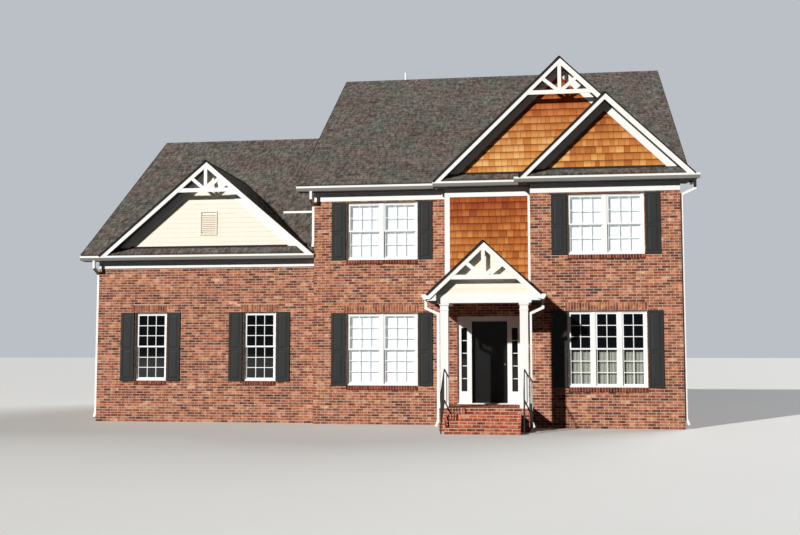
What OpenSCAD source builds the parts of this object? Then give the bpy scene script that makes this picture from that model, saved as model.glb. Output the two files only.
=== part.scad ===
// Two-storey brick house with a lower wing, front gables and a gabled porch.
// Millimetres. X runs along the front, Y runs from the front to the back, Z is up.
// Inside the model X = 0 is the main block's left corner, Y = 0 its front face and Z = 0 the ground.

/* [Main block] */
// Width of the main block
main_w = 9213; // [8600:1:9800]
// Depth of the main block
main_d = 13042; // [12000:1:14000]
// Thickness of the outer walls
wall_t = 250; // [200:1:300]
// Left edge of the entry part
entry_x = 3445; // [3300:1:3600]
// How far the entry part stands forward
entry_fwd = 301; // [270:1:340]
// Left edge of the bay
bay_x = 5601; // [5560:1:5700]
// How far the bay stands forward
bay_fwd = 738; // [700:1:800]
// Thickness of the framed gable walls
gable_wall_t = 140; // [100:1:180]

/* [Wing] */
// Width of the wing
wing_w = 5993; // [5700:1:6300]
// How far the wing's front stands behind the main front
wing_back = 262; // [200:1:320]
// Distance of the wing's ridge from the main front
wing_ridge_y = 6201; // [5900:1:6500]
// Left edge of the doorway between the main block and the wing
inner_door_y = 2000; // [1500:1:3000]
// Width of that doorway
inner_door_w = 900; // [800:1:1000]

/* [Levels] */
// Top of the ground floor
floor_z = 566; // [540:1:600]
// Thickness of the floors
floor_t = 300; // [200:1:350]
// Top of the upper floor
upper_floor_z = 3620; // [3500:1:3700]
// Rim of the main gutters
eave_z = 6113; // [6080:1:6200]
// Rim of the wing's gutters
wing_eave_z = 4401; // [4350:1:4500]
// Thickness of the ceilings
ceiling_t = 100; // [60:1:140]

/* [Roofs] */
// Rise of the main roof for each millimetre along
main_pitch = 0.6667; // [0.62:0.001:0.7]
// Rise of the wing roof for each millimetre along
wing_pitch = 0.6937; // [0.65:0.001:0.72]
// Thickness of the main and wing roofs, square to the slope
roof_t = 150; // [120:1:170]
// Thickness of the small roofs, square to the slope
small_roof_t = 110; // [90:1:120]
// Overhang of the eaves, with the gutter
eave_over = 335; // [310:1:380]
// Overhang of the roofs at the left ends
left_over = 417; // [380:1:450]
// Overhang of the main roof at the right end
right_over = 335; // [310:1:360]
// Height of the barge boards, plumb
barge_h = 165; // [140:1:220]
// How far the barge boards start under the roofs' tops, plumb
barge_low = 25; // [5:1:40]
// Thickness of the barge boards
barge_t = 32; // [20:1:40]
// Plumb height of the boards along the side gables
side_barge_h = 180; // [150:1:200]
// Play between like boards and slopes that meet
joint = 1; // [0.5:0.1:2]
// Play under a slope that lies on a sloping face
slope_play = 0.3; // [0.2:0.1:0.8]

/* [Front gables] */
// Left overhang of the large gable's roof
big_left_over = 279; // [260:1:300]
// Rise of the large gable's roof
big_rise = 3094; // [3000:1:3200]
// Left overhang of the small gable's roof
small_left_over = 282; // [270:1:320]
// Place of the wing gable's ridge along the front, left of the main block
wing_gable_x = 2948; // [2940:1:3000]
// Half the width of the wing gable's roof
wing_gable_half = 2935; // [2850:1:2940]
// Rise of the wing gable's roof
wing_gable_rise = 2515; // [2400:1:2600]
// Height of the collar ties in the gable trusses
collar_h = 105; // [90:1:120]
// Thickness of the truss members
truss_t = 26; // [20:1:28]
// Angle of the struts from plumb
strut_angle = 50; // [40:1:55]
// Underside of the large gable's collar tie
big_collar_z = 8254; // [8100:1:8400]
// Underside of the wing gable's collar tie
wing_collar_z = 6072; // [5950:1:6200]
// Underside of the porch's collar tie
porch_collar_z = 3522; // [3450:1:3650]
// Plumb height of the frieze boards along the gable walls
rake_frieze_h = 240; // [150:1:260]
// Width of the gable vent
vent_w = 470; // [420:1:520]
// Height of the gable vent
vent_h = 656; // [600:1:700]
// Bottom of the gable vent
vent_z = 4948; // [4900:1:5000]

/* [Eaves and gutters] */
// Left overhang of the bay's gutter
bay_gutter_over = 385; // [330:1:400]
// Depth of a gutter
gutter_d = 105; // [90:1:120]
// Height of a gutter
gutter_h = 120; // [100:1:130]
// Thickness of the gutter's metal
gutter_wall = 4; // [3:0.5:6]
// Thickness of the fascia boards
fascia_t = 20; // [15:1:25]
// Thickness of the frieze and corner boards
trim_t = 20; // [15:1:25]
// Bottom of the main frieze boards below the gutter rim
frieze_drop = 363; // [350:1:375]
// Bottom of the wing's frieze boards below the gutter rim
wing_frieze_drop = 316; // [290:1:350]
// Width of a corner board
corner_board_w = 130; // [100:1:160]
// Depth of the soffits below the gutters
soffit_drop = 10; // [5:1:20]
// Height of the band boards at the feet of the side gables
band_h = 180; // [140:1:220]
// Width of the rain pipes
pipe_w = 62; // [50:1:70]
// Gap between the rain pipes and the walls
pipe_off = 8; // [5:1:15]
// Height of the plumbing vent's top
stack_top_z = 10990; // [10900:1:11100]
// Distance of the plumbing vent from the main front
stack_y = 6800; // [6700:1:7200]
// Distance of the plumbing vent from the left corner
stack_x = 1510; // [1400:1:1600]

/* [Windows] */
// Lowest edge of the lower windows
low_sill = 981; // [900:1:1100]
// Top edge of the lower windows
low_head = 2843; // [2750:1:2900]
// Lowest edge of the upper windows
up_sill = 4214; // [4150:1:4300]
// Top edge of the upper windows
up_head = 5726; // [5650:1:5740]
// Lowest edge of the wing's windows
wing_sill = 1079; // [1000:1:1200]
// Top edge of the wing's windows
wing_head = 2895; // [2800:1:3000]
// Width of a single window
single_w = 884; // [800:1:950]
// Width of a twin window
twin_w = 1860; // [1800:1:1900]
// Width of the triple window
triple_w = 1895; // [1850:1:1950]
// Middle of the main block's twin windows
main_window_x = 1778; // [1700:1:1850]
// Middle of the bay's windows
bay_window_x = 7420; // [7350:1:7480]
// Middle of the wing's left window, from the main block
wing_window_a = 4512; // [4400:1:4600]
// Middle of the wing's right window, from the main block
wing_window_b = 1522; // [1450:1:1600]
// How far a frame stands back from the wall's face
reveal = 70; // [50:1:90]
// Depth of a window frame
frame_d = 90; // [80:1:100]
// Width of a window frame's members
frame_w = 45; // [35:1:55]
// Width of a sash's rails
rail_w = 40; // [30:1:50]
// Thickness of a sash
sash_t = 30; // [25:1:35]
// Thickness of the glass
glass_t = 6; // [4:1:10]
// Height of the brick sills
sill_h = 100; // [80:1:110]
// How far the brick sills stand out
sill_out = 30; // [20:1:40]
// Width of a shutter
shutter_w = 365; // [340:1:380]
// Thickness of a shutter
shutter_t = 30; // [25:1:35]
// Gap between a shutter and its window
shutter_gap = 18; // [10:1:25]

/* [Entry] */
// Middle of the entry door
door_x = 4551; // [4530:1:4570]
// Width of the door
door_w = 900; // [860:1:910]
// Height of the door
door_h = 2039; // [1980:1:2100]
// Thickness of the door
door_t = 45; // [40:1:50]
// Play around the door
door_gap = 8; // [6:1:10]
// Width of the posts between the door and the sidelights
mullion_w = 110; // [100:1:120]
// Width of the sidelights' glass
sidelight_w = 145; // [130:1:160]
// Width of the outer casings
casing_w = 100; // [90:1:110]
// Height of the panel under the sidelights' glass
sidelight_panel = 290; // [250:1:330]
// Height of the rail over the sidelights' glass
sidelight_head = 180; // [120:1:220]
// Height of the threshold
threshold_h = 26; // [15:1:26]
// How far the threshold stands out
threshold_out = 20; // [10:1:24]
// Top of the brick in the entry wall
entry_brick_z = 3300; // [3250:1:3350]

/* [Porch] */
// Middle of the porch
porch_x = 4520; // [4505:1:4535]
// Distance from one column's middle to the other's
column_span = 1858; // [1820:1:1880]
// Width of a column
column_w = 190; // [170:1:210]
// How far a column's plinth and cap stand out
plinth_out = 20; // [10:1:25]
// Distance of the columns' middle in front of the main front
column_y = 1983; // [1900:1:2020]
// Top of the porch floor
porch_floor_z = 540; // [500:1:555]
// Front edge of the porch floor before the main front
porch_floor_y = 2130; // [2115:1:2250]
// Depth of a tread
tread_d = 280; // [250:1:320]
// Width of the steps
steps_w = 1700; // [1600:1:1750]
// Underside of the beams
beam_z = 2980; // [2900:1:3030]
// Height of the beams
beam_h = 200; // [180:1:220]
// Width of the beams
beam_w = 240; // [230:1:260]
// How far the beams stand out past the columns
beam_out = 80; // [60:1:100]
// Half the width of the porch roof
porch_half = 1336; // [1300:1:1345]
// Rise of the porch roof
porch_rise = 1257; // [1200:1:1320]
// Height of the porch roof's foot
porch_foot_z = 3175; // [3150:1:3200]
// Overhang of the porch roof in front of the columns' middle
porch_over = 300; // [280:1:330]
// Plumb height of the porch barge boards
porch_barge_h = 165; // [140:1:200]
// Height of the handrails over the treads' noses
rail_h = 880; // [820:1:920]
// Height of the handrails' low rail over the treads' noses
low_rail_h = 160; // [155:1:200]
// Thickness of the handrails' bars
rail_bar = 25; // [16:1:30]
// Distance between the handrails' pickets
picket_step = 110; // [90:1:130]

/* [Hidden] */

eps = 1;                                        // overshoot of a cut past a face
far = 30000;                                    // longer than the house

// Places that follow from the sizes
ridge_y = main_d / 2;
wing_end_y = 2 * wing_ridge_y - wing_back;      // the wing's back face
steps_y = porch_floor_y + 3 * tread_d;          // foot of the steps, before the main front
side_gutter_x = main_w + right_over + gutter_d; // right end of the house
house_left = -wing_w - left_over;
mid_x = (house_left + side_gutter_x) / 2;
mid_y = (main_d + eave_over - steps_y) / 2;

roof_drop = roof_t * sqrt(1 + main_pitch * main_pitch);      // plumb thickness of the main roof
wing_roof_drop = roof_t * sqrt(1 + wing_pitch * wing_pitch); // plumb thickness of the wing roof
box_d = eave_over - gutter_d - fascia_t;                     // wall face to the back of the fascia
plate_z = eave_z + eave_over * main_pitch - roof_drop;       // top of the main walls
wing_plate_z = wing_eave_z + eave_over * wing_pitch - wing_roof_drop;
soffit_z = eave_z - gutter_h - soffit_drop;
wing_soffit_z = wing_eave_z - gutter_h - soffit_drop;
frieze_z = eave_z - frieze_drop;
wing_frieze_z = wing_eave_z - wing_frieze_drop;

// A gable roof is [middle, half width, foot height, rise for each millimetre]
big_left = entry_x - big_left_over;
gable_right = main_w + right_over;
big_half = (gable_right - big_left) / 2;
front_pitch = big_rise / big_half;
big = [(big_left + gable_right) / 2, big_half, eave_z, front_pitch];
small_left = bay_x - small_left_over;
small_half = (gable_right - small_left) / 2;
small = [(small_left + gable_right) / 2, small_half, eave_z, front_pitch];
wing_gable = [-wing_gable_x, wing_gable_half, wing_eave_z, wing_gable_rise / wing_gable_half];
porch = [porch_x, porch_half, porch_foot_z, porch_rise / porch_half];
wing_gap = wing_gable_half
    - (wing_plate_z - gable_under(wing_gable, wing_gable[0] - wing_gable_half)) / wing_gable[3];

big_front = -entry_fwd - eave_over;
small_front = -bay_fwd - eave_over;
wing_gable_front = wing_back - eave_over;
porch_front = -column_y - porch_over;

// Window rows are [left, right, bottom, top, units]
main_windows = [
    [main_window_x - twin_w / 2, main_window_x + twin_w / 2, low_sill, low_head, 2],
    [main_window_x - twin_w / 2, main_window_x + twin_w / 2, up_sill, up_head, 2]];
bay_windows = [
    [bay_window_x - triple_w / 2, bay_window_x + triple_w / 2, low_sill, low_head, 3],
    [bay_window_x - twin_w / 2, bay_window_x + twin_w / 2, up_sill, up_head, 2]];
wing_windows = [for (x = [-wing_window_a, -wing_window_b])
    [x - single_w / 2, x + single_w / 2, wing_sill, wing_head, 1]];
function single(u, z0, z1) = [u - single_w / 2, u + single_w / 2, z0, z1, 1];
function twin(u, z0, z1) = [u - twin_w / 2, u + twin_w / 2, z0, z1, 2];
right_places = [for (k = [1 : 4]) k * main_d / 5];
right_windows = [for (u = right_places, row = [0, 1])
    row == 0 ? single(u, low_sill, low_head) : single(u, up_sill, up_head)];
back_windows = [for (u = [main_w / 4, main_w * 3 / 4], row = [0, 1])
    row == 0 ? twin(u, low_sill, low_head) : twin(u, up_sill, up_head)];
wing_side_windows = [for (k = [1 : 3])
    single(wing_back + k * (wing_end_y - wing_back) / 4, wing_sill, wing_head)];
wing_back_windows = [for (x = [-wing_window_a, -wing_window_b]) single(x, wing_sill, wing_head)];

// Entry
entry_w = door_w + 2 * door_gap + 2 * (mullion_w - door_gap) + 2 * sidelight_w + 2 * casing_w;
entry_left = door_x - entry_w / 2;
entry_right = door_x + entry_w / 2;
entry_top = floor_z + door_h + 2 * door_gap + mullion_w;
door_left = door_x - door_w / 2;
entry_y = -entry_fwd;
entry_in_y = entry_y + wall_t;                  // inner face of the entry wall
hinge_r = 8;
pin_r = 4;
pin_play = 0.1;
hinge_h = 100;
hinge_x = door_left - door_gap / 2;
hinge_y = entry_in_y + hinge_r;

// Colours
brick = [0.62, 0.32, 0.25];
cedar = [0.80, 0.45, 0.20];
cream = [0.93, 0.87, 0.72];
white = [0.95, 0.95, 0.93];
asphalt = [0.30, 0.28, 0.27];
charcoal = [0.20, 0.23, 0.22];
near_black = [0.08, 0.08, 0.08];
timber = [0.72, 0.62, 0.48];
plaster = [0.85, 0.85, 0.83];
pale_glass = [0.55, 0.65, 0.70];
iron = [0.12, 0.12, 0.12];

// Heights on the slopes
function main_top(y) = eave_z + (y + eave_over) * main_pitch;
function wing_top(y) = wing_eave_z + (y - wing_back + eave_over) * wing_pitch;
function gable_top(g, x) = g[2] + (g[1] - abs(x - g[0])) * g[3];
function gable_drop(g) = small_roof_t * sqrt(1 + g[3] * g[3]);
function gable_under(g, x) = gable_top(g, x) - gable_drop(g);

// Everything is drawn about the house's own corner and set with its middle over the origin
module place() {
    translate([-mid_x, -mid_y, 0])
        children();
}

// Extrudes an outline drawn in X and Z from y0 to y1
module along_y(y0, y1) {
    translate([0, y1, 0])
        rotate([90, 0, 0])
            linear_extrude(y1 - y0)
                children();
}

// Extrudes an outline drawn in Y and Z from x0 to x1
module along_x(x0, x1) {
    translate([x0, 0, 0])
        rotate([90, 0, 90])
            linear_extrude(x1 - x0)
                children();
}

module block(x0, x1, y0, y1, z0, z1) {
    translate([x0, y0, z0])
        cube([x1 - x0, y1 - y0, z1 - z0]);
}

// Frames that put a wall's outer face at the local plane y = 0, with the wall behind it
module facing_front(y) {
    translate([0, y, 0])
        children();
}

module facing_back(y) {
    translate([0, y, 0])
        mirror([0, 1, 0])
            children();
}

module facing_right(x) {
    translate([x, 0, 0])
        rotate([0, 0, 90])
            children();
}

module facing_left(x) {
    translate([x, 0, 0])
        rotate([0, 0, 90])
            mirror([0, 1, 0])
                children();
}

// A wall with its window openings, each deep enough for the brick sill under the frame
module pierced_wall(u0, u1, top, windows) {
    difference() {
        block(u0, u1, 0, wall_t, 0, top);
        for (w = windows)
            block(w[0], w[1], -eps, wall_t + eps, w[2] - sill_h, w[3]);
    }
}

module sash(w, h, y) {
    difference() {
        block(0, w, y, y + sash_t, 0, h);
        block(rail_w, w - rail_w, y - eps, y + sash_t + eps, rail_w, h - rail_w);
    }
}

// One sliding-sash unit: the outer frame, the upper sash in front and the lower sash behind
module window_unit(w, h) {
    inner_w = w - 2 * frame_w;
    inner_h = h - 2 * frame_w;
    sash_h = (inner_h + rail_w) / 2;
    translate([0, reveal, 0]) {
        difference() {
            block(0, w, 0, frame_d, 0, h);
            block(frame_w, w - frame_w, -eps, frame_d + eps, frame_w, h - frame_w);
        }
        translate([frame_w, 0, frame_w + inner_h - sash_h])
            sash(inner_w, sash_h, frame_d / 2 - sash_t);
        translate([frame_w, 0, frame_w])
            sash(inner_w, sash_h, frame_d / 2);
    }
}

module unit_glass(w, h) {
    inner_w = w - 2 * frame_w;
    inner_h = h - 2 * frame_w;
    sash_h = (inner_h + rail_w) / 2;
    pane_x0 = frame_w + rail_w;
    pane_x1 = w - pane_x0;
    low_y = reveal + frame_d / 2 + (sash_t - glass_t) / 2;
    up_y = low_y - sash_t;
    block(pane_x0, pane_x1, low_y, low_y + glass_t, pane_x0, frame_w + sash_h - rail_w);
    block(pane_x0, pane_x1, up_y, up_y + glass_t, h - frame_w - sash_h + rail_w, h - pane_x0);
}

module window_frames(windows) {
    for (w = windows)
        for (k = [0 : w[4] - 1])
            translate([w[0] + k * (w[1] - w[0]) / w[4], 0, w[2]])
                window_unit((w[1] - w[0]) / w[4], w[3] - w[2]);
}

module window_panes(windows) {
    for (w = windows)
        for (k = [0 : w[4] - 1])
            translate([w[0] + k * (w[1] - w[0]) / w[4], 0, w[2]])
                unit_glass((w[1] - w[0]) / w[4], w[3] - w[2]);
}

// Brick-on-edge sills with a sloped nose
module brick_sills(windows) {
    nose = 20;
    for (w = windows)
        along_x(w[0], w[1])
            polygon([
                [-sill_out, w[2] - sill_h], [wall_t, w[2] - sill_h], [wall_t, w[2]],
                [reveal, w[2]], [-sill_out, w[2] - nose]]);
}

module main_front_wall() {
    color(brick)
        place()
            pierced_wall(0, entry_x, plate_z, main_windows);
}

module entry_piers() {
    color(brick)
        place() {
            block(entry_x, entry_left, entry_y, entry_in_y, 0, entry_brick_z);
            block(entry_right, bay_x, entry_y, entry_in_y, 0, entry_brick_z);
        }
}

module entry_head_and_sill() {
    color(brick)
        place() {
            block(entry_left, entry_right, entry_y, entry_in_y, entry_top, entry_brick_z);
            block(entry_left, entry_right, entry_y, entry_in_y, 0, floor_z - threshold_h);
        }
}

module entry_shingle_wall() {
    color(cedar)
        place()
            block(entry_x, bay_x, entry_y, entry_in_y, entry_brick_z, plate_z);
}

module return_walls() {
    color(brick)
        place() {
            block(entry_x, entry_x + wall_t, entry_in_y, wall_t, 0, plate_z);
            block(bay_x, bay_x + wall_t, wall_t - bay_fwd, entry_in_y, 0, plate_z);
        }
}

module bay_front_wall() {
    color(brick)
        place()
            facing_front(-bay_fwd)
                pierced_wall(bay_x, main_w, plate_z, bay_windows);
}

module right_wall() {
    color(brick)
        place()
            facing_right(main_w)
                pierced_wall(wall_t - bay_fwd, main_d - wall_t, plate_z, right_windows);
}

module back_wall() {
    color(brick)
        place()
            facing_back(main_d)
                pierced_wall(0, main_w, plate_z, back_windows);
}

// The wall between the main block and the wing, in slabs around the inner doorway
module left_wall() {
    door_top = floor_z + door_h;
    color(brick)
        place() {
            block(0, wall_t, wall_t, inner_door_y, 0, plate_z);
            block(0, wall_t, inner_door_y + inner_door_w, main_d - wall_t, 0, plate_z);
            block(0, wall_t, inner_door_y + joint, inner_door_y + inner_door_w - joint, door_top, plate_z);
            block(0, wall_t, inner_door_y + joint, inner_door_y + inner_door_w - joint, 0, floor_z);
        }
}

module wing_front_wall() {
    color(brick)
        place()
            facing_front(wing_back)
                pierced_wall(-wing_w, 0, wing_plate_z, wing_windows);
}

module wing_left_wall() {
    color(brick)
        place()
            facing_left(-wing_w)
                pierced_wall(wing_back + wall_t, wing_end_y - wall_t, wing_plate_z, wing_side_windows);
}

module wing_back_wall() {
    color(brick)
        place()
            facing_back(wing_end_y)
                pierced_wall(-wing_w, 0, wing_plate_z, wing_back_windows);
}

// Inside of the main block's walls, seen from above
module main_inside() {
    polygon([
        [wall_t, wall_t], [entry_x + wall_t, wall_t], [entry_x + wall_t, entry_in_y],
        [bay_x + wall_t, entry_in_y], [bay_x + wall_t, wall_t - bay_fwd], [main_w - wall_t, wall_t - bay_fwd],
        [main_w - wall_t, main_d - wall_t], [wall_t, main_d - wall_t]]);
}

module wing_inside() {
    translate([wall_t - wing_w, wing_back + wall_t])
        square([wing_w - wall_t, wing_end_y - wing_back - 2 * wall_t]);
}

module floor_slab(top, thick) {
    translate([0, 0, top - thick])
        linear_extrude(thick)
            children();
}

module ground_floors() {
    color(timber)
        place() {
            floor_slab(floor_z, floor_t)
                main_inside();
            floor_slab(floor_z, floor_t)
                wing_inside();
        }
}

module upper_floor() {
    color(timber)
        place()
            floor_slab(upper_floor_z, floor_t)
                main_inside();
}

module ceilings() {
    color(plaster)
        place() {
            floor_slab(plate_z, ceiling_t)
                main_inside();
            floor_slab(wing_plate_z, ceiling_t)
                wing_inside();
            block(beam_in_left, beam_in_right, beam_in_y, entry_y,
                beam_z + beam_h - ceiling_t / 2, beam_z + beam_h);
        }
}

// One slope of the main roof in Y and Z, from its lower edge to the ridge
module main_slope_outline(y0) {
    polygon([
        [y0, main_top(y0)], [ridge_y - joint, main_top(ridge_y - joint)],
        [ridge_y - joint, main_top(ridge_y - joint) - roof_drop], [y0, main_top(y0) - roof_drop]]);
}

module main_roof() {
    x0 = -left_over + barge_t;
    x1 = gable_right - barge_t;
    color(asphalt)
        place() {
            difference() {
                along_x(x0, x1)
                    main_slope_outline(-box_d);
                block(entry_x, main_w, -far, 0, 0, far);
            }
            translate([0, main_d, 0])
                mirror([0, 1, 0])
                    along_x(x0, x1)
                        main_slope_outline(-box_d);
        }
}

module wing_slope_outline(y0) {
    y1 = wing_ridge_y - joint;
    polygon([
        [y0, wing_top(y0)], [y1, wing_top(y1)],
        [y1, wing_top(y1) - wing_roof_drop], [y0, wing_top(y0) - wing_roof_drop]]);
}

module wing_roof() {
    x0 = house_left + barge_t;
    color(asphalt)
        place() {
            difference() {
                along_x(x0, 0)
                    wing_slope_outline(wing_back - box_d);
                block(wing_gable[0] - wing_gap, wing_gable[0] + wing_gap,
                    -far, wing_back + gable_wall_t, 0, far);
            }
            translate([0, wing_back + wing_end_y, 0])
                mirror([0, 1, 0])
                    along_x(x0, 0)
                        wing_slope_outline(wing_back - box_d);
        }
}

// Everything below the main or the wing roof's front slope
module below_main_slope() {
    along_x(-far, far)
        polygon([
            [-eave_over, main_top(-eave_over) + slope_play], [ridge_y, main_top(ridge_y) + slope_play],
            [ridge_y, 0], [-eave_over, 0]]);
}

module below_wing_slope() {
    along_x(-far, 0)
        polygon([
            [wing_back - eave_over, wing_top(wing_back - eave_over) + slope_play],
            [wing_ridge_y, wing_top(wing_ridge_y) + slope_play],
            [wing_ridge_y, 0], [wing_back - eave_over, 0]]);
}

// Outline of a gable roof's left or right slope in X and Z
module gable_slope_outline(g, side) {
    foot = g[0] + side * g[1];
    top = g[0] + side * joint / 2;
    polygon([
        [foot, gable_top(g, foot)], [top, gable_top(g, top)],
        [top, gable_under(g, top)], [foot, gable_under(g, foot)]]);
}

// Everything below a gable roof's underside or top, down to a level
module below_gable(g, y0, y1, low, drop) {
    along_y(y0, y1)
        polygon([
            [g[0] - g[1], low], [g[0] + g[1], low], [g[0] + g[1], g[2] - drop],
            [g[0], gable_top(g, g[0]) - drop], [g[0] - g[1], g[2] - drop]]);
}

// The triangle between a level and the two slopes of a gable roof
module gable_peak(g, y0, y1, low, drop) {
    peak = gable_top(g, g[0]) - drop;
    half = (peak - low) / g[3];
    along_y(y0, y1)
        polygon([[g[0] - half, low], [g[0] + half, low], [g[0], peak]]);
}

// A gable roof's slabs and all the space above them
module above_gable(g, y0, y1) {
    along_y(y0, y1)
        polygon([
            [g[0] - g[1], gable_under(g, g[0] - g[1]) - slope_play],
            [g[0], gable_under(g, g[0]) - slope_play],
            [g[0] + g[1], gable_under(g, g[0] - g[1]) - slope_play],
            [g[0] + g[1], far], [g[0] - g[1], far]]);
}

// The space that a front gable roof leaves free: below the soffit, and the gutter under its foot
module gutter_space(face, rim, soffit) {
    block(-far, far, -far, face - box_d - fascia_t, 0, rim);
    block(-far, far, -far, far, 0, soffit);
}

function main_meets(z) = (z - eave_z) / main_pitch - eave_over;
function wing_meets(z) = (z - wing_eave_z) / wing_pitch + wing_back - eave_over;

module big_gable_roof() {
    back = main_meets(gable_top(big, big[0]));
    color(asphalt)
        place() {
            difference() {
                along_y(big_front + barge_t, back)
                    gable_slope_outline(big, -1);
                below_main_slope();
                gutter_space(entry_y, eave_z, soffit_z);
            }
            difference() {
                along_y(big_front + barge_t, back)
                    gable_slope_outline(big, 1);
                below_main_slope();
                gutter_space(-bay_fwd, eave_z, soffit_z);
            }
        }
}

// The small gable's right slope runs on into the large gable's
module small_gable_roof() {
    color(asphalt)
        place()
            difference() {
                union() {
                    along_y(small_front + barge_t, entry_y)
                        gable_slope_outline(small, -1);
                    along_y(small_front + barge_t, big_front + barge_t)
                        gable_slope_outline(small, 1);
                }
                gutter_space(-bay_fwd, eave_z, soffit_z);
                above_gable(big, big_front + barge_t, far);
            }
}

module wing_gable_roof() {
    back = wing_meets(gable_top(wing_gable, wing_gable[0]));
    color(asphalt)
        place()
            difference() {
                for (side = [-1, 1])
                    along_y(wing_gable_front + barge_t, back)
                        gable_slope_outline(wing_gable, side);
                below_wing_slope();
                gutter_space(wing_back, wing_eave_z, wing_soffit_z);
            }
}

// The porch roof dies into the main wall, the entry wall and the bay
module porch_roof() {
    color(asphalt)
        place()
            difference() {
                for (side = [-1, 1])
                    along_y(porch_front + barge_t, 0)
                        gable_slope_outline(porch, side);
                block(entry_x, bay_x, entry_y, far, 0, far);
                block(bay_x, far, -bay_fwd, far, 0, far);
            }
}

// The short shingled slopes at the foot of the front gables
module pent_outline(face, top, pitch, drop) {
    y0 = face - box_d;
    y_top = top - gutter_top_off(pitch);
    polygon([
        [y0, y_top], [face, y_top + box_d * pitch],
        [face, y_top + box_d * pitch - drop], [y0, y_top - drop]]);
}

// Height of a roof's top at the fascia above the gutter rim, as a fall
function gutter_top_off(pitch) = -(gutter_d + fascia_t) * pitch;

module pent_roofs() {
    color(asphalt)
        place() {
            intersection() {
                along_x(big_left, small_left - joint)
                    pent_outline(entry_y, eave_z, main_pitch, roof_drop);
                below_gable(big, -far, far, 0, gable_drop(big) + slope_play);
            }
            intersection() {
                along_x(small_left, gable_right)
                    pent_outline(-bay_fwd, eave_z, main_pitch, roof_drop);
                below_gable(small, -far, far, 0, gable_drop(small) + slope_play);
            }
            intersection() {
                along_x(wing_gable[0] - wing_gable[1], wing_gable[0] + wing_gable[1])
                    pent_outline(wing_back, wing_eave_z, wing_pitch, wing_roof_drop);
                below_gable(wing_gable, -far, far, 0, gable_drop(wing_gable) + slope_play);
                wing_gable_gap();
            }
        }
}

// The part of the wing's front where the gable wall stands
module wing_gable_gap() {
    block(wing_gable[0] - wing_gap, wing_gable[0] + wing_gap, -far, far, 0, far);
}

// Boxed eave in Y and Z: soffit, fascia board and the space under the roof
module eave_outline(face, rim, pitch, drop) {
    back = face - box_d;
    front = back - fascia_t;
    top = rim - gutter_top_off(pitch);
    polygon([
        [face, rim - gutter_h - soffit_drop], [front, rim - gutter_h - soffit_drop], [front, top],
        [back, top], [back, top - drop - slope_play],
        [face, top + box_d * pitch - drop - slope_play]]);
}

beam_left = porch_x - column_span / 2 - column_w / 2 - beam_out;
beam_right = porch_x + column_span / 2 + column_w / 2 + beam_out;
beam_in_left = beam_left + beam_w;
beam_in_right = beam_right - beam_w;
beam_front = -column_y - beam_w / 2;
beam_in_y = beam_front + beam_w;
porch_soffit_z = beam_z + 50;

module eave_boxes() {
    color(white)
        place() {
            // main block, front and back
            difference() {
                along_x(-left_over + barge_t, entry_x)
                    eave_outline(0, eave_z, main_pitch, roof_drop);
                above_gable(big, -far, far);
            }
            translate([0, main_d, 0])
                mirror([0, 1, 0])
                    along_x(-left_over + barge_t, gable_right - barge_t)
                        eave_outline(0, eave_z, main_pitch, roof_drop);
            // entry, under the large gable's foot
            intersection() {
                along_x(big_left, small_left - joint)
                    eave_outline(entry_y, eave_z, main_pitch, roof_drop);
                below_gable(big, -far, far, 0, gable_drop(big) + slope_play);
            }
            // bay, and the closed corner under the small gable's left foot
            intersection() {
                along_x(small_left, gable_right)
                    eave_outline(-bay_fwd, eave_z, main_pitch, roof_drop);
                below_gable(small, -far, far, 0, gable_drop(small) + slope_play);
            }
            intersection() {
                block(small_left, bay_x, -bay_fwd + joint, entry_y, soffit_z, plate_z);
                below_gable(small, -far, far, 0, gable_drop(small) + slope_play);
            }
            intersection() {
                block(main_w, main_w + box_d + fascia_t, -bay_fwd + joint, -box_d - fascia_t - joint,
                    soffit_z, far);
                below_gable(small, -far, far, 0, gable_drop(small) + slope_play);
            }
            // wing, front and back
            difference() {
                along_x(house_left + barge_t, -joint)
                    eave_outline(wing_back, wing_eave_z, wing_pitch, wing_roof_drop);
                above_gable(wing_gable, -far, far);
            }
            translate([0, wing_back + wing_end_y, 0])
                mirror([0, 1, 0])
                    along_x(house_left + barge_t, -joint)
                        eave_outline(wing_back, wing_eave_z, wing_pitch, wing_roof_drop);
            // porch sides
            porch_eave(beam_left, porch_x - porch_half, entry_x, 0);
            porch_eave(beam_right, porch_x + porch_half, 0, -bay_fwd);
        }
}

module porch_eave(x_beam, x_foot, x_stop, y_end) {
    side = sign(x_foot - x_beam);
    edge = x_foot - side * fascia_t;
    difference() {
        along_y(porch_front + barge_t, y_end)
            polygon([
                [x_beam, porch_soffit_z], [edge, porch_soffit_z],
                [edge, gable_under(porch, edge) - slope_play],
                [x_beam, gable_under(porch, x_beam) - slope_play]]);
        block(entry_x, bay_x, entry_y, far, 0, far);
    }
}

// Gutter section in Y and Z with its back at y = 0 and its rim at z = 0
module gutter_section(open) {
    base = 0.55 * gutter_d;                     // width of the flat bottom
    lip = 0.4 * gutter_h;                       // height of the upright front
    g = gutter_wall;
    difference() {
        polygon([[0, 0], [0, -gutter_h], [-base, -gutter_h], [-gutter_d, -lip], [-gutter_d, 0]]);
        if (open)
            polygon([
                [-g, eps], [-g, g - gutter_h], [g / 2 - base, g - gutter_h],
                [g - gutter_d, g / 2 - lip], [g - gutter_d, eps]]);
    }
}

module gutter(x0, x1, y_back, rim) {
    cap = gutter_wall;
    translate([0, y_back, rim]) {
        along_x(x0, x1)
            gutter_section(true);
        along_x(x0, x0 + cap)
            gutter_section(false);
        along_x(x1 - cap, x1)
            gutter_section(false);
    }
}

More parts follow.
